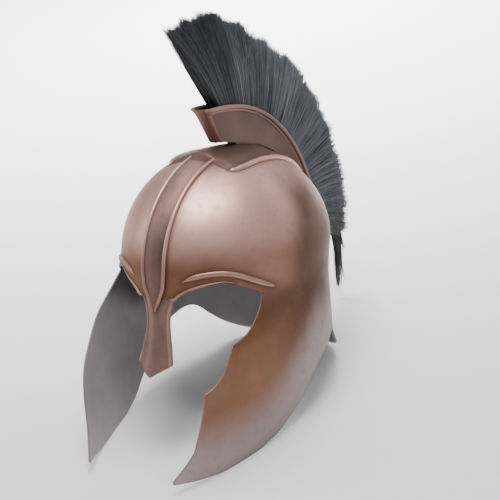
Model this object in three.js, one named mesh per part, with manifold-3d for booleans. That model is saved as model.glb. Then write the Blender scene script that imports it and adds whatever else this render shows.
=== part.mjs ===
// Open-faced bronze helmet with long cheek guards, a crest box and a fan-shaped hair plume.
// Millimetres. The shell is drawn in its own frame: x to the wearer's left, f forward, z up,
// z = 0 at the widest section of the bowl. The whole is then tipped to stand on its own edges.
import * as THREE from 'three';
import Module from 'manifold-3d';

const wasm = await Module();
wasm.setup();

// Driving sizes of the shell
const SHEET = 2.0;
const BOWL_HALF = 100;
const BOWL_FRONT = 108.5;
const BOWL_BACK = 135;
const BOWL_RISE = 106;
const BOWL_POWER = 2.1;
const PROW_OUT = 6;
const PROW_ANGLE = 38;
const CHEEK_FRONT = 210.5;
const NAPE_BACK = 116.5;
const CHEEK_START = 18;
const CHEEK_FULL = -55;
const FLARE_START = -82;
const FLARE_OUT = 19;

// Half width of the skirt by height
const SKIRT = [
  { z: -40, half: 102.7 },
  { z: -105, half: 103.8 },
  { z: -172, half: 92.2 },
];

// Lower edge and openings, as angle from the front in degrees and height
const EYE_CORNER = 56.5;
const BROW_EDGE = [
  { angle: 0, z: -14 },
  { angle: 10, z: -13.5 },
  { angle: 13, z: -9.3 },
  { angle: 16, z: -6 },
  { angle: 20, z: -2.9 },
  { angle: 28, z: 0.8 },
  { angle: 37, z: 2.1 },
  { angle: 45, z: -1.6 },
  { angle: 51, z: -6.6 },
  { angle: 56.5, z: -12 },
  { angle: 75, z: -16 },
  { angle: 180, z: -16 },
];
const LEFT_EDGE = [
  { angle: 56.5, z: -12 },
  { angle: 53, z: -24.5 },
  { angle: 50, z: -32 },
  { angle: 47, z: -38.5 },
  { angle: 43.5, z: -44 },
  { angle: 38.2, z: -48 },
  { angle: 36.5, z: -59.5 },
  { angle: 34.2, z: -73 },
  { angle: 31.1, z: -82.5 },
  { angle: 27.8, z: -88 },
  { angle: 27.1, z: -102 },
  { angle: 25.8, z: -120 },
  { angle: 24.5, z: -133 },
  { angle: 23.2, z: -145.5 },
  { angle: 20.6, z: -157 },
  { angle: 17, z: -171 },
];
// The right guard's front edge runs smooth, without the left one's two steps
const RIGHT_EDGE = [
  { angle: 56.5, z: -12 },
  { angle: 51, z: -17.5 },
  { angle: 48, z: -25 },
  { angle: 46, z: -33 },
  { angle: 44.2, z: -41 },
  { angle: 42.4, z: -49 },
  { angle: 40, z: -57 },
  { angle: 37, z: -66 },
  { angle: 33.8, z: -75.5 },
  { angle: 30.8, z: -84 },
  { angle: 28.5, z: -93 },
  { angle: 26.8, z: -104 },
  { angle: 25.2, z: -119 },
  { angle: 24, z: -132.5 },
  { angle: 22.6, z: -145.5 },
  { angle: 20.4, z: -157 },
  { angle: 17, z: -171 },
];
const LOWER_EDGE = [
  { angle: 17, z: -173.5 },
  { angle: 23.7, z: -176 },
  { angle: 30.3, z: -176 },
  { angle: 37, z: -174 },
  { angle: 46, z: -170 },
  { angle: 54.7, z: -164 },
  { angle: 62.8, z: -157 },
  { angle: 69.3, z: -148 },
  { angle: 76, z: -139 },
  { angle: 82, z: -129.5 },
  { angle: 86.5, z: -119.5 },
  { angle: 92, z: -110 },
  { angle: 99, z: -101.5 },
  { angle: 108, z: -94.5 },
  { angle: 117, z: -88.5 },
  { angle: 125, z: -90 },
  { angle: 134, z: -104 },
  { angle: 144, z: -119 },
  { angle: 157, z: -129 },
  { angle: 180, z: -133 },
];

// Nasal guard, one row per level: edge height, drop of the ridge below the edges, ridge reach,
// half width, and how far the halves are swept back
const NASAL = [
  { z: 10, drop: 0, reach: 114.6, half: 22, sweep: 17 },
  { z: -6, drop: 0, reach: 114.9, half: 22.6, sweep: 18 },
  { z: -12, drop: 0, reach: 115.2, half: 20.6, sweep: 20 },
  { z: -17, drop: 0.5, reach: 115.6, half: 17.6, sweep: 22 },
  { z: -28, drop: 1, reach: 117, half: 14.6, sweep: 26 },
  { z: -40, drop: 2, reach: 119.5, half: 14, sweep: 30 },
  { z: -51.5, drop: 4, reach: 122.8, half: 15.4, sweep: 32 },
  { z: -63, drop: 7, reach: 127, half: 17.6, sweep: 33 },
  { z: -76.2, drop: 11.8, reach: 133, half: 20.5, sweep: 33 },
];
const NASAL_SHEET = 2.4;

// Raised band from the nasal to the crown, edged with beads, and the crown saddle with its comb
const BAND_RISE = 2.2;
const BEAD_RISE = 3.4;
const RELIEF_SUNK = 1.5;
const BAND_ROWS = [
  { z: -25, half: 3.4 },
  { z: -14, half: 8 },
  { z: -2, half: 13 },
  { z: 14, half: 14.6 },
  { z: 60, half: 15 },
  { z: 98, half: 15.5 },
];
const SADDLE_ROWS = [
  { f: 36, half: 22, comb: 1 },
  { f: 31, half: 36, comb: 3.6 },
  { f: 22, half: 41, comb: 5.8 },
  { f: 10, half: 43, comb: 4.8 },
  { f: -2, half: 43, comb: 3.4 },
  { f: -34, half: 41.5, comb: 2 },
  { f: -70, half: 37, comb: 2 },
  { f: -100, half: 31, comb: 2 },
  { f: -122, half: 25, comb: 2 },
  { f: -131, half: 22, comb: 2 },
];
const SADDLE_RISE = 2.4;
const COMB_TOP_HALF = 5;
const COMB_FALL = 2.4;

// Raised rib over each eye
const BROW_RIB = [
  { angle: 15.2, z: 5 },
  { angle: 19, z: 8.2 },
  { angle: 25, z: 10.8 },
  { angle: 31.5, z: 11.7 },
  { angle: 38, z: 10.9 },
  { angle: 46, z: 6.8 },
  { angle: 55, z: -1 },
  { angle: 64, z: -8.6 },
];
const RIB_HALF = 2.6;
const RIB_STEPS = 13;

// Crest box, one row per station from the front: turn from the crown toward the back in degrees,
// lift of the foot off the bowl, lean of the walls forward of upright in degrees, and depth
const BOX_ROWS = [
  { turn: -1.5, lift: 8.6, lean: 30, depth: 42.5 },
  { turn: 11.5, lift: 6.2, lean: 18, depth: 41 },
  { turn: 25, lift: 4.9, lean: 4, depth: 37.5 },
  { turn: 35.6, lift: 4.9, lean: -13, depth: 31.5 },
  { turn: 47, lift: 4.9, lean: -31, depth: 25.5 },
  { turn: 58, lift: 4.9, lean: -48, depth: 20.5 },
  { turn: 69, lift: 5, lean: -62, depth: 18 },
  { turn: 79, lift: 5.4, lean: -76, depth: 17 },
  { turn: 89, lift: 6.2, lean: -88, depth: 16 },
  { turn: 98, lift: 9, lean: -97, depth: 15.5 },
  { turn: 106, lift: 12, lean: -101, depth: 15 },
];
const BOX_FOOT_HALF = 8;
const BOX_RIM_HALF = 10;
const BOX_WALL = 1.6;
const RIM_BEAD = 2.1;
const PLATE_OVER = 1.6;
const PLATE_TOP_HALF = 6;
const KEEL_HALF = 3.5;
const KEEL_FROM = 0.75;
const KEEL_TO = 2.1;
const KEEL_CLEAR = 5.6;

// Plume, one row per ray of the fan: its root in the box and its tip
const FAN = [
  { rootF: -16.5, rootZ: 126, tipF: 71, tipZ: 241 },
  { rootF: -24, rootZ: 123, tipF: 38, tipZ: 246 },
  { rootF: -37, rootZ: 118, tipF: 4, tipZ: 247 },
  { rootF: -52, rootZ: 112, tipF: -42, tipZ: 232 },
  { rootF: -70, rootZ: 104, tipF: -88, tipZ: 208 },
  { rootF: -88, rootZ: 93, tipF: -138, tipZ: 180 },
  { rootF: -105, rootZ: 79, tipF: -175, tipZ: 143 },
  { rootF: -121, rootZ: 61, tipF: -207, tipZ: 101 },
  { rootF: -133.5, rootZ: 41, tipF: -231, tipZ: 54 },
  { rootF: -142, rootZ: 19, tipF: -242, tipZ: 14 },
  { rootF: -144, rootZ: -2, tipF: -244, tipZ: -22 },
  { rootF: -140.5, rootZ: -21, tipF: -238, tipZ: -54 },
];
const LOCKS = 25;
const LOCK_ROOT_WIDE = 15;
const LOCK_MID_WIDE = 21;
const LOCK_TIP_WIDE = 5;
const LOCK_ROOT_THICK = 14.5;
const LOCK_MID_THICK = 19;
const LOCK_TIP_THICK = 5;
const TAIL = { rootF: -196, rootZ: -38, midF: -238, midZ: -54, tipF: -222, tipZ: -107 };
const TAIL_WIDE = 9;
const HAIR_CLEAR = 0.3;
const HAIR_INSET = 0.14;

const rad = (degrees) => degrees * Math.PI / 180;
const lerp = (a, b, t) => a + (b - a) * t;
const clamp01 = (t) => Math.min(1, Math.max(0, t));
const smooth = (t) => clamp01(t) ** 2 * (3 - 2 * clamp01(t));

// Value of one named column at a key, straight between rows
function column(rows, key, at, name) {
  const rising = rows[rows.length - 1][key] > rows[0][key];
  let k = 0;
  while (k < rows.length - 2 && (rising ? at > rows[k + 1][key] : at < rows[k + 1][key])) {
    k += 1;
  }
  const span = rows[k + 1][key] - rows[k][key];
  return lerp(rows[k][name], rows[k + 1][name], clamp01((at - rows[k][key]) / span));
}

// Value of a named column at a row number, rounded through the rows
function flowing(rows, at, name) {
  const last = rows.length - 1;
  const k = Math.min(last - 1, Math.max(0, Math.floor(at)));
  const t = at - k;
  const p1 = rows[k][name];
  const p2 = rows[k + 1][name];
  const p0 = k > 0 ? rows[k - 1][name] : 2 * p1 - p2;
  const p3 = k < last - 1 ? rows[k + 2][name] : 2 * p2 - p1;
  const a = 2 * p1 - 2 * p2 + (p2 - p0) / 2 + (p3 - p1) / 2;
  const b = -3 * p1 + 3 * p2 - (p2 - p0) - (p3 - p1) / 2;
  return ((a * t + b) * t + (p2 - p0) / 2) * t + p1;
}

const ellipse = (u, half, reach) => 1 / Math.hypot(Math.sin(u) / half, Math.cos(u) / reach);

// Radius of the bowl at its widest section, drawn out to a soft prow in front
function bowlRadius(u) {
  const side = Math.abs(u);
  const prow = PROW_OUT * (1 - smooth(side / rad(PROW_ANGLE)));
  return ellipse(u, BOWL_HALF, side < Math.PI / 2 ? BOWL_FRONT : BOWL_BACK) + prow;
}

// Half width of the skirt, a smooth curve through its three sections
function skirtHalf(z) {
  const [a, b, c] = SKIRT;
  const first = (b.half - a.half) / (b.z - a.z);
  const second = ((c.half - b.half) / (c.z - b.z) - first) / (c.z - a.z);
  return a.half + first * (z - a.z) + second * (z - a.z) * (z - b.z);
}

// Outer face of the shell at an angle from the front (radians) and a height
function shellPoint(u, z) {
  const side = Math.abs(u);
  const front = side < Math.PI / 2;
  const bowl = bowlRadius(u);
  const half = skirtHalf(z);
  const skirt = ellipse(u, half, front ? CHEEK_FRONT : NAPE_BACK);
  const round = (1 - Math.min(1, Math.max(0, z) / BOWL_RISE) ** BOWL_POWER) ** (1 / BOWL_POWER);
  const start = lerp(-20, CHEEK_START, smooth((side - rad(15)) / rad(35)));
  const blend = smooth((start - z) / (start - CHEEK_FULL));
  const nape = smooth((side - rad(112)) / rad(34));
  const flare = FLARE_OUT * nape * clamp01((FLARE_START - z) / 55) ** 1.6;
  const r = bowl * round + (skirt - bowl) * blend + flare;
  return new THREE.Vector3(r * Math.sin(u), r * Math.cos(u), z);
}

// Outer face of the bowl straight above a plan position
function bowlPoint(x, f) {
  const e = Math.hypot(x, f) / bowlRadius(Math.atan2(x, f));
  const z = BOWL_RISE * Math.max(0, 1 - e ** BOWL_POWER) ** (1 / BOWL_POWER);
  return new THREE.Vector3(x, f, z);
}

function bowlNormal(x, f) {
  const h = 0.5;
  const df = bowlPoint(x, f + h).sub(bowlPoint(x, f - h));
  const dx = bowlPoint(x + h, f).sub(bowlPoint(x - h, f));
  return dx.cross(df).normalize();
}

// Collects points that are shared between patches and triangles between them
class Patch {
  constructor() {
    this.points = [];
    this.tris = [];
    this.keys = new Map();
  }

  point(p) {
    const key = `${p.x.toFixed(3)},${p.y.toFixed(3)},${p.z.toFixed(3)}`;
    if (!this.keys.has(key)) {
      this.keys.set(key, this.points.length);
      this.points.push(p.clone());
    }
    return this.keys.get(key);
  }

  tri(a, b, c) {
    if (a !== b && b !== c && c !== a) {
      this.tris.push([a, b, c]);
    }
  }

  // Rows of points, row after row; turn swaps the facing
  grid(rows, turn) {
    const ids = rows.map((row) => row.map((p) => this.point(p)));
    for (let i = 0; i + 1 < ids.length; i += 1) {
      for (let j = 0; j + 1 < ids[i].length; j += 1) {
        const [a, b, c, d] = [ids[i][j], ids[i][j + 1], ids[i + 1][j + 1], ids[i + 1][j]];
        if (turn) {
          this.tri(a, b, c);
          this.tri(a, c, d);
        } else {
          this.tri(a, c, b);
          this.tri(a, d, c);
        }
      }
    }
  }

  normals() {
    const sums = this.points.map(() => new THREE.Vector3());
    for (const [a, b, c] of this.tris) {
      const ab = this.points[b].clone().sub(this.points[a]);
      const ac = this.points[c].clone().sub(this.points[a]);
      const n = ab.cross(ac);
      sums[a].add(n);
      sums[b].add(n);
      sums[c].add(n);
    }
    return sums.map((n) => n.normalize());
  }

  // Closed sheet between this face and the same face moved inward
  sheet(thickness) {
    const normals = this.normals();
    const inner = this.points.map((p, i) => p.clone().addScaledVector(normals[i], -thickness));
    return this.between(inner);
  }

  between(inner) {
    const n = this.points.length;
    const tris = [];
    const edges = new Set();
    for (const [a, b, c] of this.tris) {
      tris.push(a, b, c, a + n, c + n, b + n);
      edges.add(`${a},${b}`);
      edges.add(`${b},${c}`);
      edges.add(`${c},${a}`);
    }
    for (const edge of edges) {
      const [a, b] = edge.split(',').map(Number);
      if (!edges.has(`${b},${a}`)) {
        tris.push(b, a, a + n, b, a + n, b + n);
      }
    }
    return solid([...this.points, ...inner], tris);
  }
}

// A closed body from points in (x, f, z)
function solid(points, tris) {
  const vertProperties = new Float32Array(points.flatMap((p) => [p.x, -p.y, p.z]));
  const triVerts = new Uint32Array(tris.length);
  for (let i = 0; i < tris.length; i += 3) {
    triVerts.set([tris[i], tris[i + 2], tris[i + 1]], i);
  }
  const mesh = new wasm.Mesh({ numProp: 3, vertProperties, triVerts });
  mesh.merge();
  return new wasm.Manifold(mesh);
}

// Closed body lofted through rings of equal count, ends closed
function loft(rings) {
  const count = rings[0].length;
  const points = rings.flat();
  const tris = [];
  for (let i = 0; i + 1 < rings.length; i += 1) {
    for (let j = 0; j < count; j += 1) {
      const k = (j + 1) % count;
      const [a, b] = [i * count + j, i * count + k];
      tris.push(a, b, b + count, a, b + count, a + count);
    }
  }
  const axes = new THREE.Vector3();
  const cap = (ring, base, flip) => {
    const o = ring[0];
    const e1 = ring[Math.floor(count / 3)].clone().sub(o).normalize();
    axes.set(0, 0, 0);
    for (let j = 1; j + 1 < count; j += 1) {
      axes.add(ring[j].clone().sub(o).cross(ring[j + 1].clone().sub(o)));
    }
    const e2 = axes.clone().normalize().cross(e1);
    const flat = ring.map((p) => p.clone().sub(o)).map((d) => new THREE.Vector2(d.dot(e1), d.dot(e2)));
    for (const [a, b, c] of THREE.ShapeUtils.triangulateShape(flat, [])) {
      tris.push(...(flip ? [base + a, base + c, base + b] : [base + a, base + b, base + c]));
    }
  };
  cap(rings[0], 0, true);
  cap(rings[rings.length - 1], (rings.length - 1) * count, false);
  const body = solid(points, tris);
  return body.volume() > 0 ? body : solid(points, tris.map((_, i) => tris[i - i % 3 + [0, 2, 1][i % 3]]));
}

function steps(from, to, count) {
  return Array.from({ length: count + 1 }, (_, i) => lerp(from, to, i / count));
}

// Bowl, sides and cheek guards as one sheet
function shellSheet() {
  const patch = new Patch();
  const frontAngles = [0, 5, 10, 13, 16, 20, 28, 37, 45, 51, EYE_CORNER];
  const backAngles = [65, 75, 84, 92, 99, 108, 117, 125, 134, 144, 154, 163, 171, 180];
  const half = [...frontAngles, ...backAngles];
  const around = [...half, ...half.slice(1, -1).reverse().map((a) => -a), 0];
  const browZ = (a) => column(BROW_EDGE, 'angle', Math.abs(a), 'z');
  const rows = steps(0, 1, 12).map((t) => around.map((a) => {
    const z = BOWL_RISE * Math.cos(t * Math.PI / 2) ** 0.95;
    const low = browZ(a);
    return shellPoint(rad(a), t < 1 ? lerp(z, Math.min(z, low), t ** 3) : low);
  }));
  rows[0] = around.map(() => new THREE.Vector3(0, 0, BOWL_RISE));
  patch.grid(rows, true);
  const otherSide = backAngles.slice(0, -1).reverse().map((a) => -a);
  const round = [EYE_CORNER, ...backAngles, ...otherSide, -EYE_CORNER];
  const lowZ = (a) => column(LOWER_EDGE, 'angle', Math.abs(a), 'z');
  const down = steps(0, 1, 7).map((t) => t ** 1.35);
  patch.grid(down.map((t) => round.map((a) => (
    shellPoint(rad(a), lerp(browZ(a), lowZ(a), t))))), true);
  for (const side of [1, -1]) {
    const edge = side > 0 ? LEFT_EDGE : RIGHT_EDGE;
    patch.grid(down.map((t) => edge.map((row) => (
      shellPoint(side * rad(row.angle), lerp(row.z, lowZ(row.angle), t))))), side < 0);
  }
  return patch.sheet(SHEET);
}

function nasalSheet() {
  const patch = new Patch();
  const across = [-1, -0.6, -0.25, 0, 0.25, 0.6, 1];
  const rows = steps(0, NASAL.length - 1, 12).map((at) => {
    const [z, drop, reach, half, sweep] = ['z', 'drop', 'reach', 'half', 'sweep'].map(
      (name) => flowing(NASAL, at, name));
    return across.map((s) => {
      const away = Math.hypot(s, 0.12) - 0.12;
      const back = away * half * Math.tan(rad(sweep));
      return new THREE.Vector3(s * half, reach - back, z - drop * (1 - Math.abs(s)));
    });
  });
  patch.grid(rows, true);
  return patch.sheet(NASAL_SHEET);
}

// Front face of the bowl and nasal beside the middle plane, by height
function frontPoint(x, z) {
  const row = (name) => column(NASAL, 'z', Math.min(10, z), name);
  const spread = Math.min(1, Math.abs(x) / row('half'));
  const away = Math.hypot(spread, 0.12) - 0.12;
  const nasal = z > 8 ? 0 : row('reach') - away * row('half') * Math.tan(rad(row('sweep')));
  const ahead = shellPoint(0, z).y;
  const bowl = z > -12 ? shellPoint(Math.asin(Math.min(0.9, x / ahead)), z).y : 0;
  return new THREE.Vector3(x, Math.max(nasal, bowl), z);
}

function bandRelief() {
  const outer = new Patch();
  const base = [];
  const across = [-1, -0.9, -0.74, -0.58, 0, 0.58, 0.74, 0.9, 1];
  const rise = [-1, 0.85, 1, 0, 0, 0, 1, 0.85, -1];
  const levels = [-25, -20, -14, -7, 0, 10, 24, 38, 51, 63, 74, 83, 90, 95, 98.5, 101];
  const rows = levels.map((z) => {
    const half = column(BAND_ROWS, 'z', z, 'half');
    const slope = frontPoint(0, z + 1).sub(frontPoint(0, z - 1));
    const normal = new THREE.Vector3(0, slope.z, -slope.y).normalize();
    return across.map((s, k) => {
      const p = frontPoint(s * half, z);
      const lift = rise[k] < 0 ? -0.5 : lerp(BAND_RISE, BEAD_RISE, rise[k]);
      base.push(p.clone().addScaledVector(normal, -RELIEF_SUNK));
      return p.addScaledVector(normal, lift);
    });
  });
  outer.grid(rows, false);
  return outer.between(base);
}

function saddleRelief() {
  const outer = new Patch();
  const base = [];
  const across = [0, 0.12, 0.3, 0.52, 0.76, 0.88, 0.95, 1];
  const edge = [0, 0, 0, 0, 0, 0.9, 0.8, 0];
  const signed = [...across.slice(1).reverse().map((s, i) => ({ s: -s, k: 7 - i })),
    ...across.map((s, i) => ({ s, k: i }))];
  const lines = [36, 34, 30, 24, 16, 4, -16, -38, -60, -82, -101, -116, -125, -131];
  const rows = lines.map((f, i) => {
    const half = column(SADDLE_ROWS, 'f', f, 'half');
    const comb = column(SADDLE_ROWS, 'f', f, 'comb');
    const end = i === 0 || i === lines.length - 1;
    return signed.map(({ s, k }) => {
      const p = bowlPoint(s * half, f);
      const n = bowlNormal(s * half, f);
      const flat = Math.max(0, Math.abs(s) * half - COMB_TOP_HALF) / (half - COMB_TOP_HALF);
      const ridge = comb * (1 - flat) ** COMB_FALL;
      const lift = end || k === 7 ? -0.4 : SADDLE_RISE * (0.75 + 0.35 * edge[k]) + ridge;
      base.push(p.clone().addScaledVector(n, -RELIEF_SUNK));
      return p.addScaledVector(n, lift);
    });
  });
  outer.grid(rows, false);
  return outer.between(base);
}

function browRib(side) {
  const rings = steps(0, BROW_RIB.length - 1, RIB_STEPS).map((at, i) => {
    const u = side * rad(flowing(BROW_RIB, at, 'angle'));
    const z = flowing(BROW_RIB, at, 'z');
    const p = shellPoint(u, z);
    const du = shellPoint(u + side * 0.01, z).sub(p);
    const dz = shellPoint(u, z + 1).sub(p).normalize();
    const n = du.clone().cross(dz).multiplyScalar(-side).normalize();
    const fade = RIB_HALF * Math.min(1, 0.35 + 0.33 * Math.min(i, RIB_STEPS - i));
    return steps(0, 2 * Math.PI, 6).slice(0, 6).map((t) => p.clone()
      .addScaledVector(dz, fade * Math.cos(t))
      .addScaledVector(n, 0.3 + fade * Math.sin(t)));
  });
  return loft(rings);
}

function buildShell() {
  return shellSheet()
    .add(nasalSheet())
    .add(saddleRelief())
    .add(bandRelief())
    .add(browRib(1))
    .add(browRib(-1));
}

// Middle line of the bowl over the crown and down the back, with its outward direction
function backLine(turn) {
  const at = (t) => {
    const across = (Math.abs(Math.sin(t)) / (t > 0 ? BOWL_BACK : BOWL_FRONT)) ** BOWL_POWER;
    const upright = (Math.max(0, Math.cos(t)) / BOWL_RISE) ** BOWL_POWER;
    const r = (across + upright) ** (-1 / BOWL_POWER);
    const z = r * Math.cos(t);
    return new THREE.Vector3(0, z > 12 ? -r * Math.sin(t) : shellPoint(Math.PI, z).y, z);
  };
  const along = at(rad(turn + 1)).sub(at(rad(turn - 1)));
  return { p: at(rad(turn)), n: new THREE.Vector3(0, along.z, -along.y).normalize() };
}

// Station of the crest box: foot, direction of its walls, depth
function boxFrame(at) {
  const { p, n } = backLine(flowing(BOX_ROWS, at, 'turn'));
  const foot = p.addScaledVector(n, flowing(BOX_ROWS, at, 'lift'));
  const lean = rad(flowing(BOX_ROWS, at, 'lean'));
  const up = new THREE.Vector3(0, Math.sin(lean), Math.cos(lean));
  return { foot, up, depth: flowing(BOX_ROWS, at, 'depth') };
}

function boxWallHalf(v) {
  return lerp(BOX_FOOT_HALF, BOX_RIM_HALF, v ** 1.6);
}

function buildBox() {
  const channel = (at) => {
    const { foot, up, depth } = boxFrame(at);
    const put = (x, h) => foot.clone().addScaledVector(up, h).setX(x);
    const heights = [0, 0.35, 0.7, 1];
    const outside = heights.map((v) => put(boxWallHalf(v), v * depth));
    const rim = steps(-100, 190, 6).slice(1, -1).map((a) => put(
      BOX_RIM_HALF + 0.4 + RIM_BEAD * Math.cos(rad(a)), depth + RIM_BEAD * Math.sin(rad(a))));
    const inside = heights.slice().reverse().map((v) => put(
      boxWallHalf(v) - BOX_WALL, Math.max(BOX_WALL, v * depth)));
    const right = [...outside, ...rim, ...inside];
    const left = right.slice().reverse().map((p) => p.clone().setX(-p.x));
    return [...right, ...left];
  };
  const plate = (at, ahead) => {
    const frame = boxFrame(at);
    const along = new THREE.Vector3(0, frame.up.z, -frame.up.y);
    const ring = (shift) => {
      const rise = [0, 0.35, 0.7, 1].map((v) => frame.foot.clone()
        .addScaledVector(frame.up, v * frame.depth)
        .addScaledVector(along, shift)
        .setX(boxWallHalf(v)));
      const top = frame.foot.clone()
        .addScaledVector(frame.up, frame.depth + PLATE_OVER)
        .addScaledVector(along, shift);
      return [...rise, top.clone().setX(PLATE_TOP_HALF), top.clone().setX(-PLATE_TOP_HALF),
        ...rise.slice().reverse().map((p) => p.clone().setX(-p.x))];
    };
    return loft([ring(ahead - BOX_WALL / 2), ring(ahead + BOX_WALL / 2)]);
  };
  const keel = loft(steps(KEEL_FROM, KEEL_TO, 4).map((at) => {
    const { foot, up } = boxFrame(at);
    const { p, n } = backLine(flowing(BOX_ROWS, at, 'turn'));
    const low = p.addScaledVector(n, KEEL_CLEAR);
    const high = foot.addScaledVector(up, BOX_WALL / 2);
    return [low.clone().setX(-KEEL_HALF), low.clone().setX(KEEL_HALF),
      high.clone().setX(KEEL_HALF), high.clone().setX(-KEEL_HALF)];
  }));
  return loft(steps(0, BOX_ROWS.length - 1, 22).map(channel))
    .add(plate(0, 0.3))
    .add(plate(BOX_ROWS.length - 1, -0.3))
    .add(keel);
}

// One lock as a strip of six-cornered sections along a bent line
function lock(line, wide, thick) {
  const count = line.length;
  const rings = line.map((p, i) => {
    const ahead = line[Math.min(count - 1, i + 1)].clone().sub(line[Math.max(0, i - 1)]).normalize();
    const across = new THREE.Vector3(0, ahead.z, -ahead.y);
    return [[-1, 0], [-0.45, -1], [0.45, -1], [1, 0], [0.45, 1], [-0.45, 1]].map(([a, b]) => p.clone()
      .addScaledVector(across, a * wide[i] / 2)
      .setX(b * thick[i] / 2));
  });
  return loft(rings);
}

function buildPlume() {
  const ray = (at, v) => {
    const root = new THREE.Vector3(0, flowing(FAN, at, 'rootF'), flowing(FAN, at, 'rootZ'));
    const tip = new THREE.Vector3(0, flowing(FAN, at, 'tipF'), flowing(FAN, at, 'tipZ'));
    const point = root.clone().lerp(tip, v);
    const bend = 4 * v * (1 - v) * lerp(-4, 7, at / (FAN.length - 1));
    return point.addScaledVector(new THREE.Vector3(0, root.z - tip.z, tip.y - root.y).normalize(), -bend);
  };
  const last = FAN.length - 1;
  const backing = loft(steps(0.12, last - 0.12, 24).map((at) => [
    [-2.2, 0.05], [2.2, 0.05], [4.5, 0.4], [3, 0.8], [-3, 0.8], [-4.5, 0.4],
  ].map(([x, v]) => ray(at, v).setX(x))));
  const reach = [0.02, -0.035, 0.012, -0.05, 0.0, 0.018, -0.025];
  let plume = backing;
  for (let i = 0; i < LOCKS; i += 1) {
    const at = last * i / (LOCKS - 1);
    const end = 1 + (i === 0 ? 0 : reach[i % reach.length]);
    const line = [0.03, 0.25, 0.6, 0.86, 1].map((v) => ray(at, v * end));
    const grow = i % 2 ? 0.9 : 1;
    const belly = LOCK_MID_THICK * grow;
    plume = plume.add(lock(line,
      [LOCK_ROOT_WIDE * 0.8, LOCK_ROOT_WIDE, LOCK_MID_WIDE, LOCK_MID_WIDE * 0.8, LOCK_TIP_WIDE],
      [LOCK_ROOT_THICK * 0.7, LOCK_ROOT_THICK, belly, belly * 0.7, LOCK_TIP_THICK]));
  }
  const bend = (t) => new THREE.Vector3(0,
    lerp(lerp(TAIL.rootF, TAIL.midF, t), lerp(TAIL.midF, TAIL.tipF, t), t),
    lerp(lerp(TAIL.rootZ, TAIL.midZ, t), lerp(TAIL.midZ, TAIL.tipZ, t), t));
  const tail = lock([0, 0.25, 0.55, 0.82, 1].map(bend),
    [TAIL_WIDE * 0.7, TAIL_WIDE, TAIL_WIDE, TAIL_WIDE * 0.85, TAIL_WIDE * 0.4],
    [LOCK_ROOT_THICK * 0.7, LOCK_ROOT_THICK, 13, 11, LOCK_TIP_THICK]);
  return plume.add(tail).subtract(boxAround().subtract(boxHollow()));
}

// Room inside the crest box that hair may fill, and the block round the box that it may not
function boxHollow() {
  const ends = BOX_ROWS.length - 1;
  return loft(steps(HAIR_INSET, ends - HAIR_INSET, 24).map((at) => {
    const { foot, up, depth } = boxFrame(at);
    const room = (v) => boxWallHalf(v) - BOX_WALL - HAIR_CLEAR;
    const put = (x, h) => foot.clone().addScaledVector(up, h).setX(x);
    const right = [0.12, 0.5, 0.85].map((v) => put(room(v), Math.max(BOX_WALL + HAIR_CLEAR, v * depth)));
    const top = put(room(0.9), depth + 12);
    const half = [...right, top];
    return [...half, ...half.slice().reverse().map((q) => q.clone().setX(-q.x))];
  }));
}

function boxAround() {
  const ends = BOX_ROWS.length - 1;
  return loft(steps(-0.6, ends + 0.6, 26).map((at) => {
    const { foot, up, depth } = boxFrame(at);
    const put = (x, h) => foot.clone().addScaledVector(up, h).setX(x);
    const top = depth + RIM_BEAD + 0.5 + HAIR_CLEAR;
    return [put(-22, -4), put(22, -4), put(22, top), put(-22, top)];
  }));
}

function node(name, body, look) {
  const mesh = body.getMesh();
  const geometry = new THREE.BufferGeometry();
  const positions = new Float32Array(mesh.numVert * 3);
  for (let i = 0; i < mesh.numVert; i += 1) {
    positions.set(mesh.vertProperties.subarray(i * mesh.numProp, i * mesh.numProp + 3), i * 3);
  }
  geometry.setAttribute('position', new THREE.BufferAttribute(positions, 3));
  geometry.setIndex(new THREE.BufferAttribute(new Uint32Array(mesh.triVerts), 1));
  geometry.computeVertexNormals();
  const made = new THREE.Mesh(geometry, new THREE.MeshStandardMaterial(look));
  made.name = name;
  return made;
}

const helmet = new THREE.Group();
helmet.name = 'helmet';
const tipped = new THREE.Group();
tipped.name = 'tipped_to_rest';
tipped.add(node('shell', buildShell(), { color: 0x9c6f5f, roughness: 0.42, metalness: 0.85 }));
tipped.add(node('crest_box', buildBox(), { color: 0x80564a, roughness: 0.45, metalness: 0.8 }));
tipped.add(node('plume', buildPlume(), { color: 0x2e3234, roughness: 0.8, metalness: 0 }));
helmet.add(tipped);

// Stands on the cheek edges and the nape: tip it until both are level
function levelDifference(tip) {
  tipped.rotation.x = -rad(tip);
  helmet.updateMatrixWorld(true);
  const place = tipped.children[0].geometry.getAttribute('position');
  const p = new THREE.Vector3();
  let front = Infinity;
  let back = Infinity;
  for (let i = 0; i < place.count; i += 1) {
    p.fromBufferAttribute(place, i);
    const ahead = p.y < 0;
    const z = p.applyMatrix4(tipped.matrixWorld).z;
    front = ahead ? Math.min(front, z) : front;
    back = ahead ? back : Math.min(back, z);
  }
  return front - back;
}
let low = 0;
let high = 20;
for (let i = 0; i < 40; i += 1) {
  const mid = (low + high) / 2;
  if (levelDifference(mid) < 0) {
    low = mid;
  } else {
    high = mid;
  }
}
levelDifference(low);
const box = new THREE.Box3().setFromObject(helmet, true);
tipped.position.set(0, -(box.min.y + box.max.y) / 2, -box.min.z);

export default helmet;
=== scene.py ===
"""Looks of a sheet metal helmet with a crest box and a hair plume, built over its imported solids.

Shapes are worked out in millimetres in the helmet's own frame: x to the wearer's left, f forward,
z up, z = 0 at the widest section of the bowl. to_row() turns them into the row frame in metres.
"""

import math
from collections import namedtuple
from types import SimpleNamespace

import bmesh
import bpy
import numpy as np
from mathutils import Matrix
from mathutils.kdtree import KDTree


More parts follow.
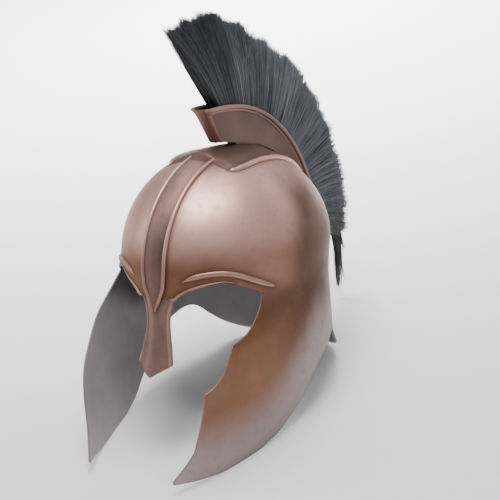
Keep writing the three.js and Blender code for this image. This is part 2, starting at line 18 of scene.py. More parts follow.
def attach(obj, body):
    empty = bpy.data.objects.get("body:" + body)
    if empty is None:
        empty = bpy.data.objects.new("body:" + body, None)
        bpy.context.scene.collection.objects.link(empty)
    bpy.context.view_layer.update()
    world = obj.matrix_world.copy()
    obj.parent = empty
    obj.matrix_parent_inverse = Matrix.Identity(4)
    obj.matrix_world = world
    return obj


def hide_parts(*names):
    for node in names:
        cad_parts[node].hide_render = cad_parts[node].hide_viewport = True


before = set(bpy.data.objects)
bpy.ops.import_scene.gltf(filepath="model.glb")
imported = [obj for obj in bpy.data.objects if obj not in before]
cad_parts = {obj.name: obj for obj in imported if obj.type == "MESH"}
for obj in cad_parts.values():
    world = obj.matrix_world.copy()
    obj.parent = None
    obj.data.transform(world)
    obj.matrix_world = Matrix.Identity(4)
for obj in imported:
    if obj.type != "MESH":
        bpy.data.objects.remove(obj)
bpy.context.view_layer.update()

bl_info = {
    "name": "Crested Helmet",
    "version": (1, 0, 0),
    "blender": (4, 5, 0),
    "location": "View3D > Sidebar > Helmet",
    "description": "Builds the metal shell, crest box, hair plume and stage of a crested helmet",
    "category": "Add Mesh",
}

# Where the helmet's own origin stands in the row frame, in millimetres
REST_SHIFT = np.array([0.0, -22.1192, 153.9494])

# Fullness of the bowl's curve, and the soft prow on its front: reach, and half angle in degrees
BOWL_POWER = 2.1
PROW_REACH, PROW_ANGLE = 6, 38
# Half width of the skirt at three levels
SKIRT_LEVELS = (-40, -105, -172)
SKIRT_HALVES = (102.7, 103.8, 92.2)
# The bowl turns into the skirt from one height in front and another at the sides, down to a third
SKIRT_FRONT, SKIRT_SIDE, SKIRT_FULL = -20, 18, -55
# The nape flares from a height down over a drop
FLARE_TOP, FLARE_DROP = -82, 55

# Edges of the shell, as angle from the front in degrees and height; a True corner stays sharp
Edge = namedtuple("Edge", "angle z corner", defaults=(False,))
BROW_EDGE = [
    Edge(0, -14, True), Edge(10, -13.5), Edge(13, -9.3), Edge(16, -6), Edge(20, -2.9), Edge(28, 0.8),
    Edge(37, 2.1), Edge(45, -1.6), Edge(51, -6.6), Edge(56.5, -12, True), Edge(75, -16, True),
    Edge(180, -16, True),
]
LEFT_EDGE = [
    Edge(56.5, -12, True), Edge(53, -24.5), Edge(50, -32), Edge(47, -38.5), Edge(43.5, -44),
    Edge(38.2, -48, True), Edge(36.5, -59.5), Edge(34.2, -73), Edge(31.1, -82.5), Edge(27.8, -88, True),
    Edge(27.1, -102), Edge(25.8, -120), Edge(24.5, -133), Edge(23.2, -145.5), Edge(20.6, -157),
    Edge(17, -171, True),
]
# The right guard's front edge runs smooth, without the left one's two steps
RIGHT_EDGE = [
    Edge(56.5, -12, True), Edge(51, -17.5), Edge(48, -25), Edge(46, -33), Edge(44.2, -41),
    Edge(42.4, -49), Edge(40, -57), Edge(37, -66), Edge(33.8, -75.5), Edge(30.8, -84), Edge(28.5, -93),
    Edge(26.8, -104), Edge(25.2, -119), Edge(24, -132.5), Edge(22.6, -145.5), Edge(20.4, -157),
    Edge(17, -171, True),
]
LOWER_EDGE = [
    Edge(17, -173.5, True), Edge(23.7, -176), Edge(30.3, -176), Edge(37, -174), Edge(46, -170),
    Edge(54.7, -164), Edge(62.8, -157), Edge(69.3, -148), Edge(76, -139), Edge(82, -129.5),
    Edge(86.5, -119.5), Edge(92, -110), Edge(99, -101.5), Edge(108, -94.5), Edge(117, -88.5),
    Edge(125, -90), Edge(134, -104), Edge(144, -119), Edge(157, -129), Edge(180, -133, True),
]
# The eye's outer corner, where the cheek guard begins
EYE_CORNER = 56.5
# Millimetres round the shell for one degree, to space points along an edge
DEGREE_RUN = 1.9

# Nasal guard by level: edge height, drop of the ridge, ridge reach, half width, sweep of the halves
Nasal = namedtuple("Nasal", "z drop reach half sweep")
NASAL_TOP = 10
NASAL = [
    Nasal(10, 0, 114.6, 22, 17), Nasal(-6, 0, 114.9, 22.6, 18), Nasal(-12, 0, 115.2, 20.6, 20),
    Nasal(-17, 0.5, 115.6, 17.6, 22), Nasal(-28, 1, 117, 14.6, 26), Nasal(-40, 2, 119.5, 14, 30),
    Nasal(-51.5, 4, 122.8, 15.4, 32), Nasal(-63, 7, 127, 17.6, 33), Nasal(-76.2, 11.8, 133, 20.5, 33),
]

# Raised band from the nasal to the crown
Band = namedtuple("Band", "z half")
BAND = [Band(-25, 3.4), Band(-14, 8), Band(-2, 13), Band(14, 14.6), Band(60, 15), Band(101, 15.5)]
BAND_FOOT, BAND_TOP = -25, 103.8

# Crown saddle with its comb, and the stretch of its two ribs
Saddle = namedtuple("Saddle", "f half comb")
SADDLE = [
    Saddle(36, 22, 1), Saddle(31, 36, 3.2), Saddle(22, 41, 4.8), Saddle(10, 43, 3.9),
    Saddle(-2, 43, 3), Saddle(-34, 41.5, 2), Saddle(-70, 37, 2), Saddle(-100, 31, 2),
    Saddle(-122, 25, 2), Saddle(-131, 22, 2),
]
SADDLE_FRONT, SADDLE_BACK = 36, -131
RIB_FRONT, RIB_BACK = 29, -129
# The front edge of the saddle is hollowed this far back in the middle
SADDLE_DIP = 9

# Rib over each eye
Rib = namedtuple("Rib", "angle z")
BROW_RIB = [
    Rib(15.2, 5), Rib(19, 8.2), Rib(25, 10.8), Rib(31.5, 11.7), Rib(38, 10.9), Rib(46, 6.8),
    Rib(55, -1), Rib(64, -8.6),
]

# Crest box by station: turn over the crown, lift off the bowl, lean of the walls, depth
Station = namedtuple("Station", "turn lift lean depth")
CREST = [
    Station(-1.5, 10.2, 30, 41), Station(11.5, 6.4, 18, 40.8), Station(25, 4.9, 4, 37.5),
    Station(35.6, 4.9, -13, 31.5), Station(47, 4.9, -31, 25.5), Station(58, 4.9, -48, 20.5),
    Station(69, 5, -62, 18), Station(79, 5.4, -76, 17), Station(89, 6.2, -88, 16),
    Station(98, 9, -97, 15.5), Station(106, 12, -101, 15),
]
# Millimetres along the box from its first station to the second
STATION_STEP = 26
# How far the hem stands out from the wall, and half the width of the keel
HEM_RISE = 0.7
KEEL_HALF = 5.6
# Wear of the box by place: rim, hem, upright corners, end plates and their edges
RIM_WEAR, HEM_WEAR, CORNER_WEAR = 0.44, 0.26, 0.35
PLATE_WEAR, PLATE_EDGE_WEAR = 0.1, 0.18

# Plume by ray of the fan: root in the box, and tip; the tail hangs from the last ray
Ray = namedtuple("Ray", "root_f root_z tip_f tip_z")
FAN = [
    Ray(-16.5, 126, 71, 241), Ray(-24, 123, 38, 246), Ray(-37, 118, 4, 247), Ray(-52, 112, -42, 232),
    Ray(-70, 104, -88, 208), Ray(-88, 93, -138, 180), Ray(-105, 79, -175, 143),
    Ray(-121, 61, -207, 101), Ray(-133.5, 41, -231, 54), Ray(-142, 19, -242, 14),
    Ray(-144, -2, -244, -22), Ray(-140.5, -21, -238, -54),
]
Tuft = namedtuple("Tuft", "share tip_f tip_z")
TAIL = [
    Tuft(0, -222, -58), Tuft(0.2, -221.5, -66), Tuft(0.26, -219.5, -107), Tuft(0.5, -222, -104),
    Tuft(0.54, -229, -100), Tuft(0.66, -232, -94.5), Tuft(0.7, -226, -84), Tuft(0.82, -229, -74),
    Tuft(0.86, -235.5, -65), Tuft(1, -229, -54),
]
# Locks of the fan, tufts in each, and how far each lock stands out
LOCKS = 25
TUFTS = 3
LOCK_REACH = [0.02, -0.035, 0.012, -0.05, 0.0, 0.018, -0.025]
# Straight runs in one strand
SEGMENTS = 6

# Finishes of the shell by their place in its list, and marks for what a point belongs to
COPPER, INSIDE, BROWN = 0, 1, 2
RIB_MARK, BORDER_MARK, RIM_MARK = 1.0, 0.6, 0.3
# Depth that the base of a raised plate is sunk under the surface
SUNK = 1.5


class ShellSizes(bpy.types.PropertyGroup):
    """Sizes of the metal shell."""

    sheet: bpy.props.FloatProperty(
        name="Sheet", description="Thickness of the metal", default=0.002, unit="LENGTH")
    bowl_half: bpy.props.FloatProperty(
        name="Bowl half width", description="Half the width of the bowl", default=0.100, unit="LENGTH")
    bowl_front: bpy.props.FloatProperty(
        name="Bowl front", description="Reach of the bowl forward", default=0.1085, unit="LENGTH")
    bowl_back: bpy.props.FloatProperty(
        name="Bowl back", description="Reach of the bowl backward", default=0.135, unit="LENGTH")
    bowl_rise: bpy.props.FloatProperty(
        name="Bowl rise", description="Height of the crown over the widest section",
        default=0.106, unit="LENGTH")
    cheek_front: bpy.props.FloatProperty(
        name="Cheek reach", description="Reach of the cheek guards' sweep forward",
        default=0.2105, unit="LENGTH")
    nape_back: bpy.props.FloatProperty(
        name="Nape reach", description="Reach of the nape backward", default=0.1165, unit="LENGTH")
    flare_out: bpy.props.FloatProperty(
        name="Nape flare", description="Outward flare of the nape edge", default=0.019, unit="LENGTH")
    bead: bpy.props.FloatProperty(
        name="Bead", description="Radius of the beads along the band", default=0.0021, unit="LENGTH")
    band_rise: bpy.props.FloatProperty(
        name="Band rise", description="Height of the middle band", default=0.0020, unit="LENGTH")
    saddle_rise: bpy.props.FloatProperty(
        name="Saddle rise", description="Height of the crown saddle", default=0.0020, unit="LENGTH")
    rib: bpy.props.FloatProperty(
        name="Brow rib", description="Half width of the rib over each eye", default=0.0027, unit="LENGTH")
    rest_tip: bpy.props.FloatProperty(
        name="Tip at rest", description="Backward tip of the helmet as it stands",
        default=math.radians(9.63664), subtype="ANGLE")


class CrestSizes(bpy.types.PropertyGroup):
    """Sizes of the crest box."""

    foot_half: bpy.props.FloatProperty(
        name="Foot half width", description="Half width at the foot", default=0.008, unit="LENGTH")
    rim_half: bpy.props.FloatProperty(
        name="Rim half width", description="Half width under the rim", default=0.010, unit="LENGTH")
    wall: bpy.props.FloatProperty(
        name="Wall", description="Thickness of the sheet", default=0.0016, unit="LENGTH")
    rim_bead: bpy.props.FloatProperty(
        name="Rim bead", description="Radius of the rolled rim", default=0.0025, unit="LENGTH")
    hem: bpy.props.FloatProperty(
        name="Hem", description="Depth of the folded strip under the rim", default=0.0055, unit="LENGTH")
    corner: bpy.props.FloatProperty(
        name="Front corner", description="Radius of the upright front corners",
        default=0.004, unit="LENGTH")


class PlumeSizes(bpy.types.PropertyGroup):
    """Sizes of the hair."""

    hairs: bpy.props.IntProperty(
        name="Hairs", description="Number of hairs in each stretch of the fan", default=4300, min=10)
    hair_radius: bpy.props.FloatProperty(
        name="Hair radius", description="Radius of a strand at its root", default=0.00042, unit="LENGTH")
    stray: bpy.props.FloatProperty(
        name="Stray", description="How far a hair's tip strays", default=0.0024, unit="LENGTH")
    root_half: bpy.props.FloatProperty(
        name="Root half width", description="Half width of the brush in the box",
        default=0.0058, unit="LENGTH")
    belly_half: bpy.props.FloatProperty(
        name="Belly half width", description="Half width of the brush at its middle",
        default=0.0090, unit="LENGTH")
    tip_half: bpy.props.FloatProperty(
        name="Tip half width", description="Half width of the brush at its tips",
        default=0.0042, unit="LENGTH")


class Finishes(bpy.types.PropertyGroup):
    """Colours of the metal and the hair."""

    rosy: bpy.props.FloatVectorProperty(
        name="Rosy copper", description="Bowl", size=3, subtype="COLOR", default=(0.62, 0.37, 0.31))
    brown: bpy.props.FloatVectorProperty(
        name="Brown copper", description="Brow and cheeks", size=3, subtype="COLOR",
        default=(0.172, 0.081, 0.043))
    # Mauve of the painted grey reflection toward the lower edges
    mauve_reflection: bpy.props.FloatVectorProperty(
        name="Mauve grey", description="Lower edges", size=3, subtype="COLOR",
        default=(0.29, 0.235, 0.237))
    band: bpy.props.FloatVectorProperty(
        name="Band brown", description="Raised band, saddle and nasal", size=3, subtype="COLOR",
        default=(0.132, 0.079, 0.066))
    inside: bpy.props.FloatVectorProperty(
        name="Inside grey", description="Inner face", size=3, subtype="COLOR",
        default=(0.43, 0.388, 0.405))
    crest: bpy.props.FloatVectorProperty(
        name="Crest brown", description="Crest box", size=3, subtype="COLOR",
        default=(0.078, 0.042, 0.029))
    # Dark and light hair are mixed by each strand's random tone and by painted light toward the back and
    # painted shade low down
    hair_dark: bpy.props.FloatVectorProperty(
        name="Dark hair", description="Deep strands", size=3, subtype="COLOR",
        default=(0.026, 0.028, 0.033))
    hair_light: bpy.props.FloatVectorProperty(
        name="Light hair", description="Outer strands", size=3, subtype="COLOR",
        default=(0.19, 0.205, 0.228))


class StageSettings(bpy.types.PropertyGroup):
    """Floor, lights and camera."""

    floor: bpy.props.FloatVectorProperty(
        name="Floor", description="Colour of the floor", size=3, subtype="COLOR",
        default=(0.93, 0.93, 0.93))
    azimuth: bpy.props.FloatProperty(
        name="View azimuth", description="Camera's turn from the front, about the helmet's own axis",
        default=math.radians(35.541), subtype="ANGLE")
    elevation: bpy.props.FloatProperty(
        name="View elevation", description="Camera's height over the helmet's own level",
        default=math.radians(17.1944), subtype="ANGLE")
    roll: bpy.props.FloatProperty(
        name="View roll", description="Turn of the picture", default=math.radians(-3.4993),
        subtype="ANGLE")
    distance: bpy.props.FloatProperty(
        name="View distance", description="From camera to helmet", default=1.43462, unit="LENGTH")
    aside: bpy.props.FloatProperty(
        name="View aside", description="Aim to the right of the bowl's axis", default=0.027679,
        unit="LENGTH")
    aim_up: bpy.props.FloatProperty(
        name="View height", description="Aim over the widest section", default=0.002662, unit="LENGTH")
    lens: bpy.props.FloatProperty(
        name="Lens", description="Focal length", default=101.124, min=1, subtype="DISTANCE_CAMERA")


def millimetres(group):
    """Lengths of a property group in millimetres, other numbers as they are."""
    found = SimpleNamespace()
    for name, prop in group.bl_rna.properties.items():
        if name in ("rna_type", "name"):
            continue
        value = getattr(group, name)
        setattr(found, name, value * 1000 if prop.unit == "LENGTH" else value)
    return found


def smooth(t):
    t = np.clip(t, 0, 1)
    return t * t * (3 - 2 * t)


def rise(value, start, width):
    """From 0 at start to 1 after width more, eased at both ends."""
    return smooth((value - start) / width)


def fall(value, end, width):
    """Down to 0 at end, from 1 before the width that leads to it, eased at both ends."""
    return smooth((end - value) / width)


def lerp(a, b, t):
    return a + (b - a) * t


def column(rows, key, at, name):
    """A column of a table at values of another column, straight between rows."""
    keys = np.array([getattr(r, key) for r in rows], float)
    values = np.array([getattr(r, name) for r in rows], float)
    order = np.argsort(keys)
    return np.interp(at, keys[order], values[order])


def flowing(rows, at, name):
    """A column of a table at row numbers, rounded through the rows."""
    values = np.array([getattr(r, name) for r in rows], float)
    values = np.concatenate([[2 * values[0] - values[1]], values, [2 * values[-1] - values[-2]]])
    at = np.asarray(at, float)
    k = np.clip(np.floor(at).astype(int), 0, len(rows) - 2)
    t = at - k
    p0, p1, p2, p3 = (values[k + i] for i in range(4))
    a = 2 * p1 - 2 * p2 + (p2 - p0) / 2 + (p3 - p1) / 2
    b = -3 * p1 + 3 * p2 - (p2 - p0) - (p3 - p1) / 2
    return ((a * t + b) * t + (p2 - p0) / 2) * t + p1


def edge_line(rows, spacing):
    """Angle and height along an edge, rounded between its corners, about every spacing millimetres."""
    corners = [i for i, r in enumerate(rows) if r.corner]
    angles, heights = [], []
    for first, last in zip(corners, corners[1:]):
        run = rows[first:last + 1]
        finely = 24
        at = np.linspace(0, len(run) - 1, finely * (len(run) - 1) + 1)
        a, z = flowing(run, at, "angle"), flowing(run, at, "z")
        along = np.concatenate([[0], np.cumsum(np.hypot(np.diff(a) * DEGREE_RUN, np.diff(z)))])
        count = max(2, int(math.ceil(along[-1] / spacing)))
        even = np.linspace(0, along[-1], count + 1)
        skip = 1 if angles else 0
        angles.extend(np.interp(even, along, a)[skip:])
        heights.extend(np.interp(even, along, z)[skip:])
    return np.array(angles), np.array(heights)


def rest_turn(sizes):
    tip = -sizes.rest_tip
    return np.array([[1, 0, 0], [0, math.cos(tip), -math.sin(tip)], [0, math.sin(tip), math.cos(tip)]])


def to_row(points, sizes):
    """Points of the helmet's own frame, tipped to stand and moved into the row frame, in metres."""
    flipped = np.asarray(points, float) * (1, -1, 1)
    return (flipped @ rest_turn(sizes).T + REST_SHIFT) / 1000


def from_row(points, sizes):
    """Points of the row frame in metres, back in the helmet's own frame."""
    return ((points * 1000 - REST_SHIFT) @ rest_turn(sizes)) * (1, -1, 1)


def put(name, data):
    """A new object in the scene, at the origin."""
    made = bpy.data.objects.new(name, data)
    bpy.context.scene.collection.objects.link(made)
    return made


def ellipse(u, half, reach):
    return 1 / np.hypot(np.sin(u) / half, np.cos(u) / reach)


def bowl_radius(u, s):
    """Radius of the bowl at its widest section, drawn out to a soft prow in front."""
    side = np.abs(u)
    prow = PROW_REACH * (1 - smooth(side / math.radians(PROW_ANGLE)))
    return ellipse(u, s.bowl_half, np.where(side < math.pi / 2, s.bowl_front, s.bowl_back)) + prow


def skirt_half(z):
    """Half width of the skirt by height, a curve through its three levels."""
    (za, zb, zc), (a, b, c) = SKIRT_LEVELS, SKIRT_HALVES
    first = (b - a) / (zb - za)
    second = ((c - b) / (zc - zb) - first) / (zc - za)
    return a + first * (z - za) + second * (z - za) * (z - zb)


def shell_point(u, z, s):
    """Outer face of the shell at angles from the front (radians) and heights."""
    u, z = np.broadcast_arrays(np.asarray(u, float), np.asarray(z, float))
    side = np.abs(u)
    bowl = bowl_radius(u, s)
    skirt = ellipse(u, skirt_half(z), np.where(side < math.pi / 2, s.cheek_front, s.nape_back))
    share = np.clip(z / s.bowl_rise, 0, 1)
    rounding = (1 - share ** BOWL_POWER) ** (1 / BOWL_POWER)
    start = lerp(SKIRT_FRONT, SKIRT_SIDE, rise(side, math.radians(15), math.radians(35)))
    blend = fall(z, start, start - SKIRT_FULL)
    nape = rise(side, math.radians(112), math.radians(34))
    flare = s.flare_out * nape * np.clip((FLARE_TOP - z) / FLARE_DROP, 0, 1) ** 1.6
    r = bowl * rounding + (skirt - bowl) * blend + flare
    return np.stack([r * np.sin(u), r * np.cos(u), z], -1)


def bowl_point(x, f, s):
    """Outer face of the bowl straight above plan positions."""
    e = np.hypot(x, f) / bowl_radius(np.arctan2(x, f), s)
    z = s.bowl_rise * np.clip(1 - e ** BOWL_POWER, 0, None) ** (1 / BOWL_POWER)
    return np.stack([x, f, z], -1)


def unit(v):
    return v / np.maximum(np.linalg.norm(v, axis=-1, keepdims=True), 1e-9)


def bowl_normal(x, f, s):
    """Outward direction of the bowl at plan positions."""
    h = 0.4
    df = bowl_point(x, f + h, s) - bowl_point(x, f - h, s)
    dx = bowl_point(x + h, f, s) - bowl_point(x - h, f, s)
    return unit(np.cross(dx, df))


class Gathered:
    """Points and faces of one piece, gathered from grids whose shared borders are welded."""

    def __init__(self):
        self.points = []
        self.faces = []
        self.looks = []
        self.marks = []
        self.count = 0

    def grid(self, points, look=0, around=False, mark=0.0):
        rows, cols = points.shape[:2]
        self.marks.append(np.broadcast_to(mark, (rows, cols)).ravel())
        ids = np.arange(rows * cols).reshape(rows, cols) + self.count
        if around:
            ids = np.concatenate([ids, ids[:, :1]], 1)
        quads = np.stack([ids[:-1, :-1], ids[:-1, 1:], ids[1:, 1:], ids[1:, :-1]], -1).reshape(-1, 4)
        self.points.append(points.reshape(-1, 3))
        self.faces.extend(quads.tolist())
        self.looks.extend([look] * len(quads))
        self.count += rows * cols

    def fan(self, ring, look=0, flip=False, mark=0.0):
        """Closes a ring of points with a fan from its middle."""
        n = len(ring)
        self.points.append(np.vstack([ring, ring.mean(0)]))
        self.marks.append(np.full(n + 1, mark))
        base = self.count
        for i in range(n):
            a, b = base + i, base + (i + 1) % n
            self.faces.append([b, a, base + n] if flip else [a, b, base + n])
            self.looks.append(look)
        self.count += n + 1

    def take(self, points, faces, looks, plain=None):
        """Adds a finished part; its points after the first plain ones are its rim."""
        self.points.append(points)
        self.marks.append(np.where(np.arange(len(points)) < (plain or len(points)), 0.0, RIM_MARK))
        self.faces.extend([[i + self.count for i in f] for f in faces])
        self.looks.extend(looks)
        self.count += len(points)

    def welded(self):
        """Points, faces and looks with shared borders joined; self.kept_marks goes with the points."""
        points = np.vstack(self.points)
        keys, index = np.unique(np.round(points, 3), axis=0, return_inverse=True)
        index = np.asarray(index).ravel()
        kept = np.zeros_like(keys)
        kept[index] = points
        self.kept_marks = np.zeros(len(keys))
        np.maximum.at(self.kept_marks, index, np.concatenate(self.marks))
        faces, looks = [], []
        for face, look in zip(self.faces, self.looks):
            ids = [int(index[i]) for i in face]
            ids = [v for k, v in enumerate(ids) if v != ids[k - 1]]
            if len(set(ids)) >= 3:
                faces.append(ids)
                looks.append(look)
        return kept, faces, looks


def point_normals(points, faces):
    """Outward direction at each point, from the faces round it."""
    sums = np.zeros_like(points)
    for count in (3, 4):
        some = np.array([f for f in faces if len(f) == count], int).reshape(-1, count)
        n = np.cross(points[some[:, 2]] - points[some[:, 0]], points[some[:, -1]] - points[some[:, 1]])
        for k in range(count):
            np.add.at(sums, some[:, k], n)
    return unit(sums)


def sheet_between(points, faces, looks, thickness, bulge):
    """A wall from an outer face: the face moved inward, and a rounded rim along its open edges."""
    normals = point_normals(points, faces)
    n = len(points)
    inner = points - normals * thickness
    edges = {edge: True for f in faces for edge in zip(f, f[1:] + f[:1])}
    border = [(a, b) for a, b in edges if (b, a) not in edges]
    outward = np.zeros_like(points)
    for a, b in border:
        away = np.cross(points[b] - points[a], normals[a])
        away = away / max(np.linalg.norm(away), 1e-9)
        outward[a] += away
        outward[b] += away
    outward = unit(outward)
    out_points = [points, inner]
    out_faces = [list(f) for f in faces] + [[i + n for i in reversed(f)] for f in faces]
    out_looks = list(looks) + [INSIDE] * len(faces)
    ring_ids = sorted({i for e in border for i in e})
    place = {v: k for k, v in enumerate(ring_ids)}
    ring = np.array(ring_ids, int)
    steps = 5
    bases = []
    total = 2 * n
    for k in range(1, steps):
        turn = math.pi * k / steps
        mid = (points[ring] + inner[ring]) / 2
        over = normals[ring] * (thickness / 2 * math.cos(turn))
        out_points.append(mid + over + outward[ring] * (bulge * math.sin(turn)))
        bases.append(total)
        total += len(ring)
    for a, b in border:
        chain_a = [a] + [base + place[a] for base in bases] + [a + n]
        chain_b = [b] + [base + place[b] for base in bases] + [b + n]
        for k in range(steps):
            out_faces.append([chain_b[k], chain_a[k], chain_a[k + 1], chain_b[k + 1]])
            out_looks.append(BROWN if k < 2 else INSIDE)
    return np.vstack(out_points), out_faces, out_looks


def swept_tube(line, radius, up, flat=1.0):
    """Rings round a line; up gives the way that the section's first point looks."""
    along = unit(np.gradient(line, axis=0))
    across = unit(np.cross(along, up))
    over = np.cross(across, along)
    sides = 12
    turn = np.linspace(0, 2 * math.pi, sides, endpoint=False)
    radius = np.asarray(radius, float).reshape(-1, 1, 1)
    return (line[:, None] + radius * (np.cos(turn)[None, :, None] * over[:, None] * flat
                                      + np.sin(turn)[None, :, None] * across[:, None]))


def add_closed_sweep(piece, rings, look, mark=0.0):
    """Adds a tube of rings with both its ends closed."""
    piece.grid(rings, look, around=True, mark=mark)
    piece.fan(rings[0], look, flip=True, mark=mark)
    piece.fan(rings[-1], look, mark=mark)


def make_piece(name, gathered, materials, sizes, mark=None):
    """A finished piece in the row frame, its faces turned outward and its hard edges kept sharp."""
    points, faces, looks = gathered.welded()
    mesh = bpy.data.meshes.new(name)
    mesh.from_pydata(to_row(points, sizes).tolist(), [], faces)
    for material in materials:
        mesh.materials.append(material)
    mesh.polygons.foreach_set("material_index", looks)
    mesh.polygons.foreach_set("use_smooth", [True] * len(faces))
    turned = bmesh.new()
    turned.from_mesh(mesh)
    bmesh.ops.recalc_face_normals(turned, faces=turned.faces)
    turned.to_mesh(mesh)
    turned.free()
    hard_edge = math.radians(48)
    mesh.set_sharp_from_angle(angle=hard_edge)
    piece = put(name, mesh)
    if mark is not None:
        set_attribute(piece, mark, gathered.kept_marks)
    return piece


# Materials
class Painter:
    """Builds one material's nodes."""

    def __init__(self, name):
        self.material = bpy.data.materials.new(name)
        self.material.use_nodes = True
        self.tree = self.material.node_tree
        self.tree.nodes.clear()
        self.shader = self.node("ShaderNodeBsdfPrincipled")
        self.link(self.shader.outputs["BSDF"], self.node("ShaderNodeOutputMaterial").inputs["Surface"])
        self.place = self.node("ShaderNodeTexCoord").outputs["Object"]

    def node(self, kind, **settings):
        made = self.tree.nodes.new(kind)
        for key, value in settings.items():
            setattr(made, key, value)
        return made

    def link(self, a, b):
        self.tree.links.new(a, b)

    def feed(self, socket, value):
        """Links a socket to another one, or gives it a plain value."""
        if hasattr(value, "is_linked"):
            self.link(value, socket)
        else:
            socket.default_value = value

    def value(self, name, value):
        self.shader.inputs[name].default_value = value

    def stretched(self, scale):
        """Object coordinates with a scale for each axis."""
        mapping = self.node("ShaderNodeMapping")
        mapping.inputs["Scale"].default_value = scale
        self.link(self.place, mapping.inputs["Vector"])
        return mapping.outputs["Vector"]

    def noise(self, scale, detail=3.0, rough=0.55, where=None):
        made = self.node("ShaderNodeTexNoise")
        for key, value in (("Scale", scale), ("Detail", detail), ("Roughness", rough)):
            made.inputs[key].default_value = value
        self.link(self.place if where is None else where, made.inputs["Vector"])
        return made.outputs["Fac"]

    def span(self, source, low, high, to_low=0.0, to_high=1.0):
        """A source's values from low to high, eased to run from to_low to to_high."""
        made = self.node("ShaderNodeMapRange", interpolation_type="SMOOTHSTEP")
        for key, value in zip(("From Min", "From Max", "To Min", "To Max"), (low, high, to_low, to_high)):
            made.inputs[key].default_value = value
        self.link(source, made.inputs["Value"])
        return made.outputs["Result"]

    def mixed(self, share, a, b):
        """Colour between a and b, each a colour or a socket."""
        made = self.node("ShaderNodeMix", data_type="RGBA")
        colours = [s for s in made.inputs if s.type == "RGBA"]
        for socket, colour in zip(colours, (a, b)):
            self.feed(socket, colour if hasattr(colour, "is_linked") else (*colour, 1))
        self.link(share, [s for s in made.inputs if s.type == "VALUE"][0])
        return [s for s in made.outputs if s.type == "RGBA"][0]

    def math(self, operation, a, b):
        made = self.node("ShaderNodeMath", operation=operation)
        for socket, value in zip(made.inputs, (a, b)):
            self.feed(socket, value)
        return made.outputs["Value"]

    def part(self, socket, share):
        """A share of a socket's value."""
        return self.math("MULTIPLY", socket, share)

    def attribute(self, name):
        return self.node("ShaderNodeAttribute", attribute_name=name).outputs["Fac"]

    def bump(self, height, strength, distance):
        """Fine unevenness; distance is its depth in metres."""
        made = self.node("ShaderNodeBump")
        made.inputs["Strength"].default_value = strength
        made.inputs["Distance"].default_value = distance
        self.link(height, made.inputs["Height"])
        self.link(made.outputs["Normal"], self.shader.inputs["Normal"])

    def colour(self, socket):
        self.link(socket, self.shader.inputs["Base Color"])

    def roughness(self, socket):
        self.link(socket, self.shader.inputs["Roughness"])


def toned(colour, strength=1.0):
    """A colour made darker or lighter."""
    return tuple(min(1.0, c * strength) for c in colour)


def copper_finish(colours):
    """Satin copper: rosy on the bowl, browner down the face, with painted grey reflection toward the lower
    edges, painted dark reflection and shade on the flanks, and painted shade beside the ribs.
    """
    p = Painter("satin_copper")
    p.value("Metallic", 0.82)
    p.value("Specular Tint", (0.62, 0.6, 0.59, 1))
    cloud = p.noise(11, 5, 0.6)
    patch = p.noise(38, 4, 0.6)
    fleck = p.noise(110, 5, 0.65)
    rosy, brown = toned(colours.rosy), toned(colours.brown)
    drift = p.span(patch, 0.25, 0.75, -0.07, 0.07)
    browning = p.attribute("browning")
    warm = p.mixed(p.math("ADD", browning, drift), rosy, brown)
    dulled = p.mixed(p.span(cloud, 0.38, 0.75, 0.0, 0.2), warm, brown)
    shine = p.math("MULTIPLY", p.span(patch, 0.5, 0.8, 0.0, 0.3), p.math("SUBTRACT", 1.0, browning))
    pale = p.mixed(shine, dulled, toned(rosy, 1.2))
    # Painted dark reflection and shade over the flanks and cheeks
    dark = p.mixed(p.part(p.attribute("umber"), 0.9), pale, toned(brown, 0.33))
    # Painted grey reflection toward the lower edges and the nape
    with_grey_reflection = p.mixed(p.math("ADD", p.attribute("greying"), drift), dark, toned(colours.mauve_reflection))
    flecked = p.mixed(p.span(fleck, 0.5, 0.78, 0.0, 0.24), with_grey_reflection, toned(colours.band))
    # Painted shade beside the raised ribs and on the rims
    groove = p.part(p.attribute("groove"), 0.5)
    p.colour(p.mixed(groove, flecked, toned(brown, 0.35)))
    p.roughness(p.math("ADD", p.span(cloud, 0.3, 0.7, 0.36, 0.45), p.span(fleck, 0.4, 0.8, 0.0, 0.10)))
    p.bump(p.math("ADD", p.noise(34, 2), p.part(p.noise(420, 3), 0.25)), 0.12, 0.0012)
    return p.material


def band_finish(colours):
    """Browner copper of the raised band, the saddle and the nasal."""
    p = Painter("brown_copper")
    p.value("Metallic", 0.78)
    streak = p.noise(26, 5, 0.6, p.stretched((1.6, 0.7, 0.7)))
    fleck = p.noise(120, 4)
    base = p.mixed(p.span(streak, 0.3, 0.72), toned(colours.band), toned(colours.band, 1.35))
    worn = p.mixed(p.attribute("wear"), base, toned(colours.rosy))
    spotted = p.mixed(p.span(fleck, 0.5, 0.8, 0.0, 0.3), worn, toned(colours.band, 0.55))
    # Painted shade beside the raised ribs and on the rims
    p.colour(p.mixed(p.part(p.attribute("groove"), 0.45), spotted, toned(colours.band, 0.4)))
    p.roughness(p.span(streak, 0.3, 0.7, 0.42, 0.56))
    p.bump(p.math("ADD", streak, p.part(p.noise(380, 3), 0.3)), 0.10, 0.001)
    return p.material


def inside_finish(colours):
    """Dull grey inner face, with painted shadow where the sheet turns up under the brow and painted shade low
    down and on its rims.
    """
    p = Painter("inner_grey")
    p.value("Metallic", 0.25)
    cloud = p.noise(16, 5, 0.6)
    hammered = p.node("ShaderNodeTexVoronoi")
    hammered.inputs["Scale"].default_value = 75
    p.link(p.place, hammered.inputs["Vector"])
    shade = p.mixed(p.span(cloud, 0.3, 0.75), toned(colours.inside), toned(colours.inside, 0.8))
    p.colour(p.mixed(p.attribute("shadow"), shade, toned(colours.inside, 0.12)))
    p.roughness(p.span(cloud, 0.3, 0.7, 0.52, 0.66))
    p.bump(p.math("ADD", hammered.outputs["Distance"], p.noise(300, 3)), 0.14, 0.0010)
    return p.material


